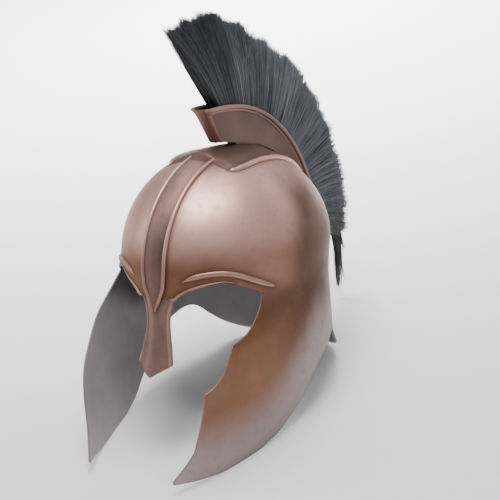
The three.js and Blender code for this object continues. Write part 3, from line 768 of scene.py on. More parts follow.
def crest_finish(colours):
    """Dark brown copper with fine brushing along the box."""
    p = Painter("crest_brown")
    p.value("Metallic", 0.72)
    brushed = p.noise(30, 4, 0.6, p.stretched((3.0, 0.6, 0.6)))
    cloud = p.noise(22, 4)
    base = p.mixed(p.span(cloud, 0.32, 0.72), toned(colours.crest), toned(colours.crest, 1.35))
    p.colour(p.mixed(p.attribute("wear"), base, toned(colours.rosy, 0.9)))
    p.roughness(p.span(brushed, 0.3, 0.75, 0.40, 0.55))
    p.bump(p.math("ADD", brushed, p.part(p.noise(400, 3), 0.3)), 0.10, 0.0009)
    return p.material


def hair_finish(colours):
    """Dark grey horsehair, with painted light toward the back and painted shade at its low end; each strand
    has its own random tone.
    """
    p = Painter("dark_hair")
    p.value("Metallic", 0.0)
    p.value("Specular IOR Level", 0.42)
    drift = p.span(p.noise(30, 4), 0.3, 0.7, 0, 0.3)
    tone = p.math("ADD", p.part(p.attribute("shade"), 0.75), drift)
    apart = p.node("ShaderNodeSeparateXYZ")
    p.link(p.place, apart.inputs["Vector"])
    # Painted light toward the back and painted shade at the low end
    backward = p.span(apart.outputs["Y"], 0.0, 0.15, 0.36, 1.85)
    low_end_shade = p.span(apart.outputs["Z"], 0.07, 0.185, 0.1, 1.0)
    painted_light_and_shade = p.math("MULTIPLY", tone, p.math("MULTIPLY", backward, low_end_shade))
    p.colour(p.mixed(painted_light_and_shade, toned(colours.hair_dark), toned(colours.hair_light)))
    p.roughness(p.span(p.noise(160, 3), 0.3, 0.7, 0.42, 0.58))
    return p.material


def backing_finish(colours):
    """Packed hair under the outer strands, streaked along the rays."""
    p = Painter("packed_hair")
    p.value("Metallic", 0.0)
    p.value("Specular IOR Level", 0.3)
    streak = p.noise(60, 5, 0.65)
    lane = p.attribute("lane")
    dark, light = toned(colours.hair_dark), toned(colours.hair_light, 0.6)
    p.colour(p.mixed(p.math("MULTIPLY", lane, p.span(streak, 0.25, 0.75, 0.5, 1.0)), dark, light))
    p.roughness(p.span(streak, 0.3, 0.7, 0.55, 0.75))
    p.bump(p.math("ADD", lane, p.part(streak, 0.5)), 0.5, 0.001)
    return p.material


def floor_finish(settings):
    """Pale matt floor with a faint cloudiness."""
    p = Painter("pale_floor")
    p.value("Specular IOR Level", 0.2)
    pale = toned(settings.floor)
    p.colour(p.mixed(p.span(p.noise(2.5, 2), 0.3, 0.7), pale, toned(pale, 0.985)))
    p.value("Roughness", 0.85)
    return p.material


def set_attribute(piece, name, values):
    """Keeps one number for each point of a piece, for its finishes to read."""
    made = piece.data.attributes.new(name, "FLOAT", "POINT")
    made.data.foreach_set("value", np.asarray(values, np.float32))


# Shell
def shell_face(s):
    """Outer face of bowl, sides and cheek guards as welded points and faces."""
    brow_a, brow_z = edge_line(BROW_EDGE, 1.9)
    lower_a, lower_z = edge_line(LOWER_EDGE, 1.5)

    def brow(a):
        return np.interp(a, brow_a, brow_z)

    def lower(a):
        return np.interp(a, lower_a, lower_z)

    crown_rows, skirt_rows, round_steps = 55, 46, 84
    front = brow_a[brow_a <= EYE_CORNER + 1e-6]
    back = np.linspace(EYE_CORNER, 180, round_steps)[1:]
    half = np.concatenate([front, back])
    ring = np.concatenate([half, -half[-2::-1]])
    side_ring = np.concatenate([[EYE_CORNER], back, -back[-2::-1], [-EYE_CORNER]])
    gathered = Gathered()
    rows = []
    for t in np.linspace(0, 1, crown_rows):
        low = brow(np.abs(ring))
        z = np.full_like(ring, s.bowl_rise * math.cos(t * math.pi / 2) ** 0.95 if t < 1 else 0.0)
        z = np.where(t < 1, lerp(z, np.minimum(z, low), t ** 3), low)
        rows.append(shell_point(np.radians(ring), z, s))
    rows[0][:] = (0, 0, s.bowl_rise)
    gathered.grid(np.array(rows))
    down = np.linspace(0, 1, skirt_rows) ** 1.35
    top, bottom = brow(np.abs(side_ring)), lower(np.abs(side_ring))
    gathered.grid(np.array([shell_point(np.radians(side_ring), lerp(top, bottom, t), s) for t in down]))
    for side, edge in ((1, LEFT_EDGE), (-1, RIGHT_EDGE)):
        angles, tops = (line[::-side] for line in edge_line(edge, 1.8))
        bottoms = lower(angles)
        gathered.grid(np.array([
            shell_point(side * np.radians(angles), lerp(tops, bottoms, t), s) for t in down]))
    return gathered.welded()


def ridge_away(share):
    """Fall of the nasal from its rounded middle ridge, by share of the way to its edge."""
    soft, fullness = 0.4, 0.887
    return (np.hypot(share, soft) - soft) / (math.hypot(1, soft) - soft) * fullness


def nasal_face():
    """Outer face of the nasal guard, with a raised border along its edges."""
    at = np.linspace(0, len(NASAL) - 1, 66)
    z, drop, reach, half, sweep = (flowing(NASAL, at, name)[:, None] for name in NASAL[0]._fields)
    across = np.sin(np.linspace(-1, 1, 41) * math.pi / 2)[None, :]
    f = reach - ridge_away(across) * half * np.tan(np.radians(sweep))
    inset = half * (1 - np.abs(across))
    border_in, border_half, border_rise = 1.7, 1.5, 1.0
    border = np.sqrt(np.clip(1 - ((inset - border_in) / border_half) ** 2, 0, 1))
    f = f + border_rise * border * fall(z, 2, 14)
    points = np.stack([across * half, f, z - drop * (1 - np.abs(across))], -1)
    gathered = Gathered()
    gathered.grid(points, BROWN)
    return gathered.welded()


def front_point(x, z, s):
    """Front face of the bowl and nasal beside the middle plane, by height."""
    x, z = np.broadcast_arrays(np.asarray(x, float), np.asarray(z, float))
    low = np.minimum(NASAL_TOP, z)
    half, reach, sweep = (column(NASAL, "z", low, name) for name in ("half", "reach", "sweep"))
    away = ridge_away(np.minimum(1, np.abs(x) / half))
    nasal = np.where(z > NASAL_TOP - 2, 0, reach - away * half * np.tan(np.radians(sweep)))
    ahead = shell_point(np.zeros_like(z), z, s)[..., 1]
    bowl = shell_point(np.arcsin(np.clip(x / np.maximum(ahead, 1), -0.9, 0.9)), z, s)[..., 1]
    return np.stack([x, np.maximum(nasal, np.where(z > -12, bowl, 0)), z], -1)


def relief(outer, base, look, gathered, mark=0.0):
    """A raised plate: its outer face, and the sunk base that closes it."""
    gathered.grid(outer, look, mark=mark)
    gathered.grid(base[::-1], look, mark=mark)
    for k in (0, -1):
        first, second = (base, outer) if k == 0 else (outer, base)
        gathered.grid(np.stack([first[k], second[k]]), look)
        gathered.grid(np.stack([first[:, k], second[:, k]], 1), look)


def band_relief(s, gathered):
    """Middle band from the nasal to the crown, and the beads along its two edges."""
    levels = np.concatenate([
        np.linspace(BAND_FOOT, -2, 14), np.linspace(0, 84, 40), np.linspace(86, BAND_TOP, 18)])
    half = column(BAND, "z", levels, "half")
    step = front_point(0, levels + 0.6, s) - front_point(0, levels - 0.6, s)
    normal = unit(np.stack([np.zeros_like(levels), step[:, 2], -step[:, 1]], -1))
    across = np.linspace(-1, 1, 25)
    surface = front_point(across[None] * (half[:, None] - s.bead), levels[:, None], s)
    edge = np.abs(across)[None] > 0.999
    lift = np.where(edge, -0.6, s.band_rise * (1 - 0.25 * across[None] ** 2))[..., None]
    relief(surface + normal[:, None] * lift, surface - normal[:, None] * SUNK, BROWN, gathered)
    for side in (1, -1):
        x = side * np.maximum(half - s.bead, 0.2)
        line = front_point(x, levels, s) + normal * (s.band_rise * 0.55)
        radius = s.bead * np.interp(levels, (BAND_FOOT, -19, 99, BAND_TOP), (0.5, 1.0, 1.0, 0.8))
        add_closed_sweep(gathered, swept_tube(line, radius, normal), COPPER, RIB_MARK)


def saddle_relief(s, gathered):
    """Raised plate over the crown, its comb, and the rolled rib along each long edge."""
    f = np.concatenate([
        np.linspace(SADDLE_FRONT, 20, 16), np.linspace(18, -120, 56), np.linspace(-122, SADDLE_BACK, 6)])
    half = column(SADDLE, "f", f, "half")
    across = np.sin(np.linspace(-1, 1, 45) * math.pi / 2)
    x = across[None] * half[:, None]
    ff = np.broadcast_to(f[:, None], x.shape)
    hollowed = ff - SADDLE_DIP * (1 - across[None] ** 2) * rise(ff, 6, 30)
    surface, normal = bowl_point(x, hollowed, s), bowl_normal(x, hollowed, s)
    comb_half = 5
    flat = np.clip(np.abs(x) - comb_half, 0, None) / (half[:, None] - comb_half)
    ridge = column(SADDLE, "f", hollowed, "comb") * (1 - flat) ** 2.4
    at_back = rise(ff, SADDLE_BACK, 4)
    fade = np.minimum(fall(ff, SADDLE_FRONT, 5), at_back)
    thin = lerp(1, fall(np.abs(x), half[:, None], 9), rise(ff, 14, 9))
    plate = s.saddle_rise * 0.8 * thin * np.minimum(fall(ff, SADDLE_FRONT + 1, 16), at_back)
    lift = plate + ridge * fade - 0.4 * (1 - fade)
    lift[:, 0] = lift[:, -1] = -0.5
    relief(surface + normal * lift[..., None], surface - normal * SUNK, BROWN, gathered)
    blunt_run = 3
    run = np.concatenate([
        np.linspace(RIB_FRONT, RIB_FRONT - blunt_run, 7), np.linspace(24.5, RIB_BACK, 88)])
    blunt = np.sqrt(np.clip((RIB_FRONT + 0.1 - run) / blunt_run, 0, 1))
    blunt = blunt * (0.72 + 0.28 * fall(run, RIB_FRONT - blunt_run, 10))
    radius = np.maximum(3.0 * np.minimum(blunt, 0.55 + 0.45 * rise(run, RIB_BACK, 30)), 0.3)
    out = column(SADDLE, "f", run, "half") - 1.0
    for side in (1, -1):
        line = bowl_point(side * out, run, s)
        up = bowl_normal(side * out, run, s)
        add_closed_sweep(gathered, swept_tube(line + up * 0.5, radius, up), COPPER, RIB_MARK)


def brow_ribs(s, gathered):
    """Rib over each eye, tapered at its inner end and rounded at its outer one."""
    at = np.linspace(0, len(BROW_RIB) - 1, 70)
    angle, z = np.radians(flowing(BROW_RIB, at, "angle")), flowing(BROW_RIB, at, "z")
    share = at / at[-1]
    ends = np.minimum(0.25 + 0.75 * smooth(share / 0.22), 0.62 + 0.38 * smooth((1 - share) / 0.14))
    radius = s.rib * ends * np.sqrt(np.clip((1.004 - share) / 0.03, 0, 1))
    for side in (1, -1):
        p = shell_point(side * angle, z, s)
        du = shell_point(side * (angle + 0.01), z, s) - p
        dz = shell_point(side * angle, z + 0.5, s) - p
        n = unit(np.cross(du, dz)) * -side
        n = n * np.sign(np.sum(n * p * (1, 1, 0), -1))[:, None]
        tube = swept_tube(p + n * 0.3, np.maximum(radius, 0.15), n, flat=0.62)
        add_closed_sweep(gathered, tube, COPPER, RIB_MARK)


def brow_borders(s, gathered):
    """Rolled border that runs on from the nasal's edge along the inner part of each brow."""
    angle, z = edge_line(BROW_EDGE, 1.2)
    first, last, over_edge = 7.8, 42, 1.1
    kept = (angle > first) & (angle < last)
    angle, z = np.radians(angle[kept]), z[kept] + over_edge
    share = np.linspace(0, 1, len(angle))
    radius = 1.15 * rise(share, -0.03, 0.1) * (1 - rise(share, 0.35, 0.65)) + 0.3
    for side in (1, -1):
        line = shell_point(side * angle, z, s)
        out = unit(line * (1, 1, 0))
        add_closed_sweep(gathered, swept_tube(line + out * 0.2, radius, out), BROWN, BORDER_MARK)


def shell_looks(piece, s, raised):
    """Attributes that the finishes read: how brown and worn, painted grey reflection, painted dark reflection
    and shade, painted shadow, and painted shade beside the raised ribs.
    """
    count = len(piece.data.vertices)
    co = np.zeros(count * 3, np.float32)
    piece.data.vertices.foreach_get("co", co)
    own = from_row(co.reshape(-1, 3).astype(float), s)
    x, f, z = own.T
    on_rib, on_rim = raised >= BORDER_MARK, raised == RIM_MARK
    tree = KDTree(int(on_rib.sum()))
    for k in np.flatnonzero(on_rib):
        tree.insert(own[k], int(k))
    tree.balance()
    near = np.array([0.0 if r else tree.find(q)[2] for q, r in zip(own, on_rib)])
    # Painted shade in the creases beside the raised ribs and borders, and painted shade on the sheet's rims
    crease_shade_width = 3.2
    groove = np.where(on_rib, 0, np.exp(-(near / crease_shade_width) ** 2))
    set_attribute(piece, "groove", np.where(on_rim, 0.9, groove))

    # Brown down the face, most of all beside the nasal, less toward the back
    side = np.degrees(np.abs(np.arctan2(x, f)))
    brown = 0.77 * fall(z, 50, 38) + 0.2 * fall(z, -5, 20)
    brown = brown + 0.2 * fall(side, 46, 18) * fall(z, 42, 24)
    brown = brown * (1 - 0.35 * rise(side, 108, 40))
    # Raised ribs and borders, and the rims a little, are kept less brown: a painted highlight along them
    set_attribute(piece, "browning", np.clip(brown * (1 - 0.4 * raised), 0, 1))

    # Painted dark reflection and shade over the flanks and the back of the cheeks
    cheek = 0.85 * np.exp(-((side - 84) / 25) ** 2) * fall(z, 10, 30) * rise(z, -120, 60)
    flank = rise(side - 16 * smooth(z / 60), 62, 28) * (1 - rise(side, 114, 46))
    umber = np.maximum(cheek, flank * fall(z, 110, 54) * rise(z, -85, 40))
    set_attribute(piece, "umber", np.clip(umber, 0, 1))

    # Painted grey reflection toward the lower edges and over the nape
    lower = np.interp(side, [r.angle for r in LOWER_EDGE], [r.z for r in LOWER_EDGE])
    reach = 78 + 12 * rise(side, 45, 30) * fall(side, 118, 30)
    near_low = np.maximum(fall(z - lower, reach, 76), 0.06 * fall(z, -50, 40))
    back = rise(side, 84, 30) * fall(z, -38, 40)
    set_attribute(piece, "greying", np.clip(np.maximum(near_low, 0.75 * back), 0, 0.95))

    # Bright wear on the band and the nasal's borders
    nasal_half = column(NASAL, "z", np.minimum(z, NASAL_TOP), "half")
    border = fall(nasal_half - np.abs(x), 3.4, 1.2) * fall(z, 2, 12) * rise(f, 96, 6)
    on_crown = fall(f, SADDLE_FRONT, 5) * rise(z, 30, 20)
    wear = (0.12 * fall(z, -8, 14) + 0.36 * rise(z, 35, 45)) * (1 - on_crown)
    wear = np.maximum(wear, np.maximum(0.42 * border, 0.3 * on_rib))
    set_attribute(piece, "wear", np.clip(wear, 0, 1))

    # Painted shadow on the inner face under the brow, painted shade low down, and painted shade on the rims
    under_brow = rise(z - 0.5 * (f - 60), -60, 34) * (0.3 + 0.65 * rise(f, -5, 30))
    dusk = np.maximum(under_brow, 0.18 * fall(z, -80, 50))
    set_attribute(piece, "shadow", np.where(on_rim, 0.6, dusk))


# Crest box
def back_line(turn, s):
    """Middle line of the bowl over the crown and down the back, with its outward direction."""
    def at(t):
        across = (np.abs(np.sin(t)) / np.where(t > 0, s.bowl_back, s.bowl_front)) ** BOWL_POWER
        upright = (np.clip(np.cos(t), 0, None) / s.bowl_rise) ** BOWL_POWER
        r = (across + upright) ** (-1 / BOWL_POWER)
        z = r * np.cos(t)
        low = shell_point(np.full_like(z, math.pi), z, s)[..., 1]
        return np.stack([np.zeros_like(z), np.where(z > 12, -r * np.sin(t), low), z], -1)

    turn = np.radians(np.asarray(turn, float))
    along = at(turn + math.radians(1)) - at(turn - math.radians(1))
    return at(turn), unit(np.stack([np.zeros_like(turn), along[..., 2], -along[..., 1]], -1))


def crest_frames(at, s):
    """Foot, wall direction and depth of the crest box at station numbers."""
    p, n = back_line(flowing(CREST, at, "turn"), s)
    foot = p + n * flowing(CREST, at, "lift")[..., None]
    lean = np.radians(flowing(CREST, at, "lean"))
    up = np.stack([np.zeros_like(lean), np.sin(lean), np.cos(lean)], -1)
    return foot, up, flowing(CREST, at, "depth")


def crest_wall(v, c):
    """Half width of the channel by share of its depth."""
    return lerp(c.foot_half, c.rim_half, v ** 1.6)


def crest_channel(s, c, gathered):
    """Flared channel with a rolled rim, its upright front corners rounded."""
    at = np.concatenate([np.array([0, 0.004, 0.012, 0.025, 0.045, 0.075, 0.11, 0.155]),
                         np.linspace(0.2, len(CREST) - 1, 96)])
    foot, up, depth = crest_frames(at, s)
    ahead = at * STATION_STEP
    rounded = c.corner - np.sqrt(np.clip(c.corner ** 2 - np.clip(c.corner - ahead, 0, None) ** 2, 0, None))
    v = np.linspace(0, 1, 12)
    turn = np.radians(np.linspace(-95, 185, 13))
    sections, marks = [], []
    for k in range(len(at)):
        d = depth[k]
        hem_foot = d - c.hem * 0.95
        heights = [*np.linspace(0, d - c.hem - 0.5, 10), *(d - c.hem * np.array([1, 0.9, 0.5, 0]))]
        outside = [(crest_wall(h / d, c) - rounded[k] + HEM_RISE * (h > hem_foot), h) for h in heights]
        rim = [(c.rim_half + 0.4 - rounded[k] + c.rim_bead * math.cos(a), d + c.rim_bead * math.sin(a))
               for a in turn]
        inside = [(crest_wall(q, c) - c.wall - rounded[k] * 0.6, max(c.wall, q * d)) for q in v[::-1]]
        right = outside + rim + inside
        profile = right + [(-x, h) for x, h in reversed(right)]
        sections.append([foot[k] + up[k] * h + np.array([x, 0, 0]) for x, h in profile])
        corner = CORNER_WEAR * (ahead[k] < c.corner)
        shine = lerp(1, 0.36, smooth(at[k] / 3.2))
        worn = [max(corner, HEM_WEAR * shine * (h > hem_foot)) for h in heights]
        worn = worn + [RIM_WEAR * shine] * len(rim) + [0.0] * len(inside)
        marks.append(worn + worn[::-1])
    sections = np.array(sections)
    gathered.grid(sections, around=True, mark=np.array(marks))
    close_ends(sections, gathered)


def close_ends(rings, gathered, mark=0.0):
    """Closes the first and the last of some two sided rings, each half against the other."""
    half = rings.shape[1] // 2
    for k in (0, -1):
        strip = np.stack([rings[k][:half], rings[k][::-1][:half]])
        gathered.grid(strip if k else strip[::-1], mark=mark)


def crest_plate(at, shift, narrow, s, c, gathered):
    """Plate that closes an end of the channel, with its upper edge standing a little over the rim."""
    foot, up, depth = (q[0] for q in crest_frames(np.array([at], float), s))
    along = np.array([0, up[2], -up[1]])
    v = np.linspace(0, 1, 10)
    right = [(crest_wall(q, c) - narrow, q * depth) for q in v]
    right += [(6.6 - narrow * 0.4, depth + 1.1), (6.0 - narrow * 0.4, depth + 1.6)]
    outline = right + [(-x, h) for x, h in reversed(right)]
    rings = []
    for move, shrink in ((shift - 0.8, 0.5), (shift - 0.5, 0), (shift + 0.5, 0), (shift + 0.8, 0.5)):
        rings.append([foot + up * h + along * move + np.array([x - math.copysign(shrink, x), 0, 0])
                      for x, h in outline])
    rings = np.array(rings)
    gathered.grid(rings, around=True, mark=PLATE_EDGE_WEAR)
    close_ends(rings, gathered, PLATE_WEAR)


def crest_keel(s, gathered):
    """Rib under the box that carries it on the comb."""
    at = np.linspace(1.2, 7, 40)
    foot, up, _ = crest_frames(at, s)
    p, n = back_line(flowing(CREST, at, "turn"), s)
    comb = s.saddle_rise * 0.8 + column(SADDLE, "f", p[:, 1], "comb")
    low, high = p + n * (comb[:, None] - 0.4), foot + up * 0.8
    out = np.array([KEEL_HALF, 0, 0])
    add_closed_sweep(gathered, np.stack([low - out, low + out, high + out, high - out], 1), 0)


# Plume
def fan_ray(at, v):
    """Points along the rays of the fan, in the middle plane."""
    at, v = np.broadcast_arrays(np.asarray(at, float), np.asarray(v, float))
    root_f, root_z, tip_f, tip_z = (flowing(FAN, at, name) for name in Ray._fields)
    bend = 4 * v * (1 - v) * lerp(-4, 7, at / (len(FAN) - 1))
    side_f, side_z = root_z - tip_z, tip_f - root_f
    size = np.hypot(side_f, side_z)
    f = lerp(root_f, tip_f, v) - bend * side_f / size
    z = lerp(root_z, tip_z, v) - bend * side_z / size
    return np.stack([np.zeros_like(f), f, z], -1)


def lock_at(at):
    """Middle of the strand group that a ray belongs to, and how far out of one the ray's hairs reach."""
    place = np.asarray(at, float) / (len(FAN) - 1) * (LOCKS - 1)
    lock = np.clip(np.round(place), 0, LOCKS - 1).astype(int)
    reach = np.where(lock == 0, 0.0, np.array(LOCK_REACH)[lock % len(LOCK_REACH)])
    fine = np.round(place * TUFTS)
    middle = fine / TUFTS / (LOCKS - 1) * (len(FAN) - 1)
    off_lock, off_tuft = np.abs(place - lock) * 2, np.abs(place * TUFTS - fine) * 2
    ragged = 0.022 * off_lock ** 1.3 + 0.018 * off_tuft ** 1.3 - 0.008 * np.sin(fine * 2.4)
    last_lock_short = 0.10 * rise(place, LOCKS - 2.1, 1.1)
    end = 0.992 + 0.6 * reach - ragged - last_lock_short
    return np.clip(middle, 0, len(FAN) - 1), off_tuft, end


def plume_backing(gathered):
    """Packed hair under the strands, as a ridged fan."""
    at = np.linspace(0.05, len(FAN) - 1.05, 520)
    v = np.concatenate([np.linspace(0.03, 0.8, 18), np.linspace(0.83, 1, 8)])
    middle, off, end = lock_at(at)
    spine = fan_ray(lerp(at, middle, 0.3)[None, :], v[:, None] * (0.955 * end)[None, :])
    half = np.interp(v, (0.03, 0.25, 0.6, 0.86, 1.0), (4.4, 6.0, 7.9, 5.2, 1.0))[:, None]
    comb = np.random.default_rng(7).random(len(at))
    comb = (comb + np.roll(comb, 1) * 0.6) / 1.6
    half = half * (1 - 0.12 * off[None] ** 2) * (0.94 + 0.1 * comb[None])
    right, left = spine.copy(), spine.copy()
    right[..., 0], left[..., 0] = half, -half
    relief(right, left, 0, gathered, mark=comb)


def root_ribbon(first, last, k):
    """Where the hairs of one stretch stand, with the way that each of them bends and ends."""
    at = np.linspace(first, last, 320)
    middle, _, end = lock_at(at)
    rows = []
    for q in np.linspace(-1, 1, 7):
        root = fan_ray(at, np.full_like(at, 0.03)) + (q * k.root_half, 0, 0)
        tip = fan_ray(lerp(at, middle, 0.45), end * (1 - 0.02 * q * q)) + (q * k.tip_half, 0, 0)
        belly = fan_ray(lerp(at, middle, 0.2), end * 0.52) + (q * k.belly_half, 0, 0)
        rows.append((root, 2 * belly - (root + tip) / 2, tip))
    return [np.array(group) for group in zip(*rows)]


def tail_ribbon():
    """Narrow hanging tail, whose hairs come out of the last locks and end in short tufts."""
    across, share = np.meshgrid(np.linspace(-1, 1, 7), np.linspace(0, 1, 40), indexing="ij")
    inner, outer = np.clip(share / 0.25, 0, 1), np.clip((share - 0.25) / 0.75, 0, 1)
    root = np.stack([across * 2.2, -209 - 9.5 * inner - 7.5 * outer, -28 - 8 * share], -1)
    tip = np.stack([across * 2.2, column(TAIL, "share", share, "tip_f"),
                    column(TAIL, "share", share, "tip_z")], -1)
    belly = lerp(root, tip, np.array([0.5, 0.2, 0.6])) + across[..., None] * (1.5, 0, 0)
    return [root, belly, tip]


def ribbon_mesh(name, ribbons, s):
    """Strips of root points that keep the belly and tip of the hair at each point."""
    gathered = Gathered()
    bellies, tips = [], []
    for root, belly, tip in ribbons:
        gathered.grid(root)
        bellies.append(belly.reshape(-1, 3))
        tips.append(tip.reshape(-1, 3))
    mesh = bpy.data.meshes.new(name)
    mesh.from_pydata(to_row(np.vstack(gathered.points), s).tolist(), [], gathered.faces)
    for label, points in (("belly", np.vstack(bellies)), ("tip", np.vstack(tips))):
        made = mesh.attributes.new(label, "FLOAT_VECTOR", "POINT")
        made.data.foreach_set("vector", to_row(points, s).astype(np.float32).ravel())
    return put(name, mesh)


def hair_tree():
    """Node tree that stands strands on a ribbon and bends each one to its own tip."""
    tree = bpy.data.node_groups.new("brush_of_hair", "GeometryNodeTree")
    face = tree.interface
    face.new_socket("Geometry", in_out="INPUT", socket_type="NodeSocketGeometry")
    for label, kind in (("Density", "NodeSocketFloat"), ("Strand Radius", "NodeSocketFloat"),
                        ("Stray", "NodeSocketFloat"), ("Seed", "NodeSocketInt"),
                        ("Hair", "NodeSocketMaterial")):
        face.new_socket(label, in_out="INPUT", socket_type=kind)
    face.new_socket("Geometry", in_out="OUTPUT", socket_type="NodeSocketGeometry")
    nodes, links = tree.nodes, tree.links
    given = nodes.new("NodeGroupInput")
    result = nodes.new("NodeGroupOutput")

    def add(kind, feeds=(), **settings):
        """A new node with its settings, then what goes into its named inputs."""
        made = nodes.new(kind)
        for key, value in settings.items():
            setattr(made, key, value)
        for label, value in dict(feeds).items():
            feed([i for i in made.inputs if i.name == label and i.enabled][0], value)
        return made

    def feed(socket, value):
        if hasattr(value, "is_linked"):
            links.new(value, socket)
        else:
            socket.default_value = value

    def number(operation, a, b):
        made = add("ShaderNodeMath", operation=operation)
        feed(made.inputs[0], a)
        feed(made.inputs[1], b)
        return made.outputs["Value"]

    def plus(a, b):
        made = add("ShaderNodeVectorMath", operation="ADD")
        feed(made.inputs[0], a)
        feed(made.inputs[1], b)
        return made.outputs["Vector"]

    def scaled(a, scale):
        made = add("ShaderNodeVectorMath", operation="SCALE")
        feed(made.inputs[0], a)
        feed(made.inputs["Scale"], scale)
        return made.outputs["Vector"]

    def named(label, kind="FLOAT_VECTOR"):
        return add("GeometryNodeInputNamedAttribute", {"Name": label}, data_type=kind).outputs["Attribute"]

    def store(geometry, label, value, kind="FLOAT_VECTOR"):
        made = add("GeometryNodeStoreNamedAttribute", {
            "Geometry": geometry, "Name": label, "Value": value}, data_type=kind, domain="POINT")
        return made.outputs["Geometry"]

    def chance(low, high, offset, kind="FLOAT"):
        seed = number("ADD", given.outputs["Seed"], offset)
        made = add("FunctionNodeRandomValue", {"Min": low, "Max": high, "Seed": seed}, data_type=kind)
        return [o for o in made.outputs if o.enabled][0]

    def strayed(label, sideways, offset):
        """A stored point of each hair, moved by chance, less to the sides than along the fan."""
        away = chance((-sideways, -1, -1), (sideways, 1, 1), offset, "FLOAT_VECTOR")
        return plus(named(label), scaled(away, given.outputs["Stray"]))

    spread = add("GeometryNodeDistributePointsOnFaces", {
        "Mesh": given.outputs["Geometry"], "Density": given.outputs["Density"],
        "Seed": given.outputs["Seed"]}, distribute_method="RANDOM")
    points = spread.outputs["Points"]
    points = store(points, "root", add("GeometryNodeInputPosition").outputs["Position"])
    points = store(points, "tip", strayed("tip", 0.55, 1))
    points = store(points, "belly", strayed("belly", 0.35, 2))
    points = store(points, "shade", chance(0.0, 1.0, 3), "FLOAT")
    shorter = number("POWER", chance(0.0, 0.52, 4), 3.0)
    points = store(points, "length", number("SUBTRACT", 1.0, shorter), "FLOAT")
    mesh, top = add("GeometryNodePointsToVertices", {"Points": points}).outputs["Mesh"], True
    for _ in range(SEGMENTS):
        grow = add("GeometryNodeExtrudeMesh", {
            "Mesh": mesh, "Selection": top, "Offset": (0, 0, 0.001), "Offset Scale": 1.0}, mode="VERTICES")
        mesh, top = grow.outputs["Mesh"], grow.outputs["Top"]
    thread = add("GeometryNodeMeshToCurve", {"Mesh": mesh})

    # Each strand is a curve from its root past its belly to its tip
    share = add("GeometryNodeSplineParameter").outputs["Factor"]
    t = number("MULTIPLY", share, named("length", "FLOAT"))
    rest = number("SUBTRACT", 1.0, t)
    by_root = scaled(named("root"), number("MULTIPLY", rest, rest))
    by_belly = scaled(named("belly"), number("MULTIPLY", number("MULTIPLY", t, rest), 2.0))
    by_tip = scaled(named("tip"), number("MULTIPLY", t, t))
    place = add("GeometryNodeSetPosition", {
        "Geometry": thread.outputs["Curve"], "Position": plus(plus(by_root, by_belly), by_tip)})
    taper = number("SUBTRACT", 1.0, number("MULTIPLY", number("POWER", share, 2.0), 0.72))
    thick = add("GeometryNodeSetCurveRadius", {
        "Curve": place.outputs["Geometry"],
        "Radius": number("MULTIPLY", taper, given.outputs["Strand Radius"])})
    section = add("GeometryNodeCurvePrimitiveCircle", {"Resolution": 3, "Radius": 1.0}, mode="RADIUS")
    skin = add("GeometryNodeCurveToMesh", {
        "Curve": thick.outputs["Curve"], "Profile Curve": section.outputs["Curve"]})
    if "Scale" in skin.inputs:
        feed(skin.inputs["Scale"], add("GeometryNodeInputRadius").outputs["Radius"])
    soft = add("GeometryNodeSetShadeSmooth", {"Geometry": skin.outputs["Mesh"]})
    real = add("GeometryNodeRealizeInstances", {"Geometry": soft.outputs["Geometry"]})
    finish = add("GeometryNodeSetMaterial", {
        "Geometry": real.outputs["Geometry"], "Material": given.outputs["Hair"]})
    links.new(finish.outputs["Geometry"], result.inputs["Geometry"])
    return tree


def comb_out(name, ribbons, tree, k, s, hair, seed):
    """Runs the node tree on a ribbon and keeps the strands as a plain mesh."""
    holder = ribbon_mesh(name + "_roots", ribbons, s)
    area = sum(p.area for p in holder.data.polygons)
    modifier = holder.modifiers.new("brush", "NODES")
    modifier.node_group = tree
    values = {"Density": k.hairs / area, "Strand Radius": k.hair_radius / 1000, "Stray": k.stray / 1000,
              "Seed": seed, "Hair": hair}
    for item in tree.interface.items_tree:
        if item.item_type == "SOCKET" and item.in_out == "INPUT" and item.name in values:
            modifier[item.identifier] = values[item.name]
    graph = bpy.context.evaluated_depsgraph_get()
    mesh = bpy.data.meshes.new_from_object(holder.evaluated_get(graph))
    mesh.name = name
    holder.modifiers.remove(modifier)
    bpy.data.objects.remove(holder)
    for label in ("root", "belly", "tip", "length"):
        if label in mesh.attributes:
            mesh.attributes.remove(mesh.attributes[label])
    if len(mesh.polygons) == 0:
        raise RuntimeError(f"{name} has no strands")
    return put(name, mesh)


# Stage
def scene_group(name):
    """Sizes of one property group of the scene, in millimetres."""
    return millimetres(getattr(bpy.context.scene, name))


def build_floor(settings):
    """Round pale floor under the helmet."""
    reach, count = 9.0, 48
    turn = np.linspace(0, 2 * math.pi, count, endpoint=False)
    points = [(reach * math.cos(a), reach * math.sin(a), 0.0) for a in turn]
    mesh = bpy.data.meshes.new("floor")
    mesh.from_pydata(points, [], [list(range(count))])
    mesh.materials.append(floor_finish(settings))
    floor = put("floor", mesh)


def aimed(place, target):
    """Turns a light or camera at place toward target."""
    back = unit(np.array(place, float) - np.array(target, float))
    right = unit(np.cross((0, 0, 1), back) if abs(back[2]) < 0.999 else np.array([1.0, 0, 0]))
    up = np.cross(back, right)
    return placed(right, up, back, place)


def placed(right, up, back, place):
    """Matrix of three axes and a place."""
    matrix = Matrix.Identity(4)
    for k, axis in enumerate((right, up, back, place)):
        for i in range(3):
            matrix[i][k] = float(axis[i])
    return matrix


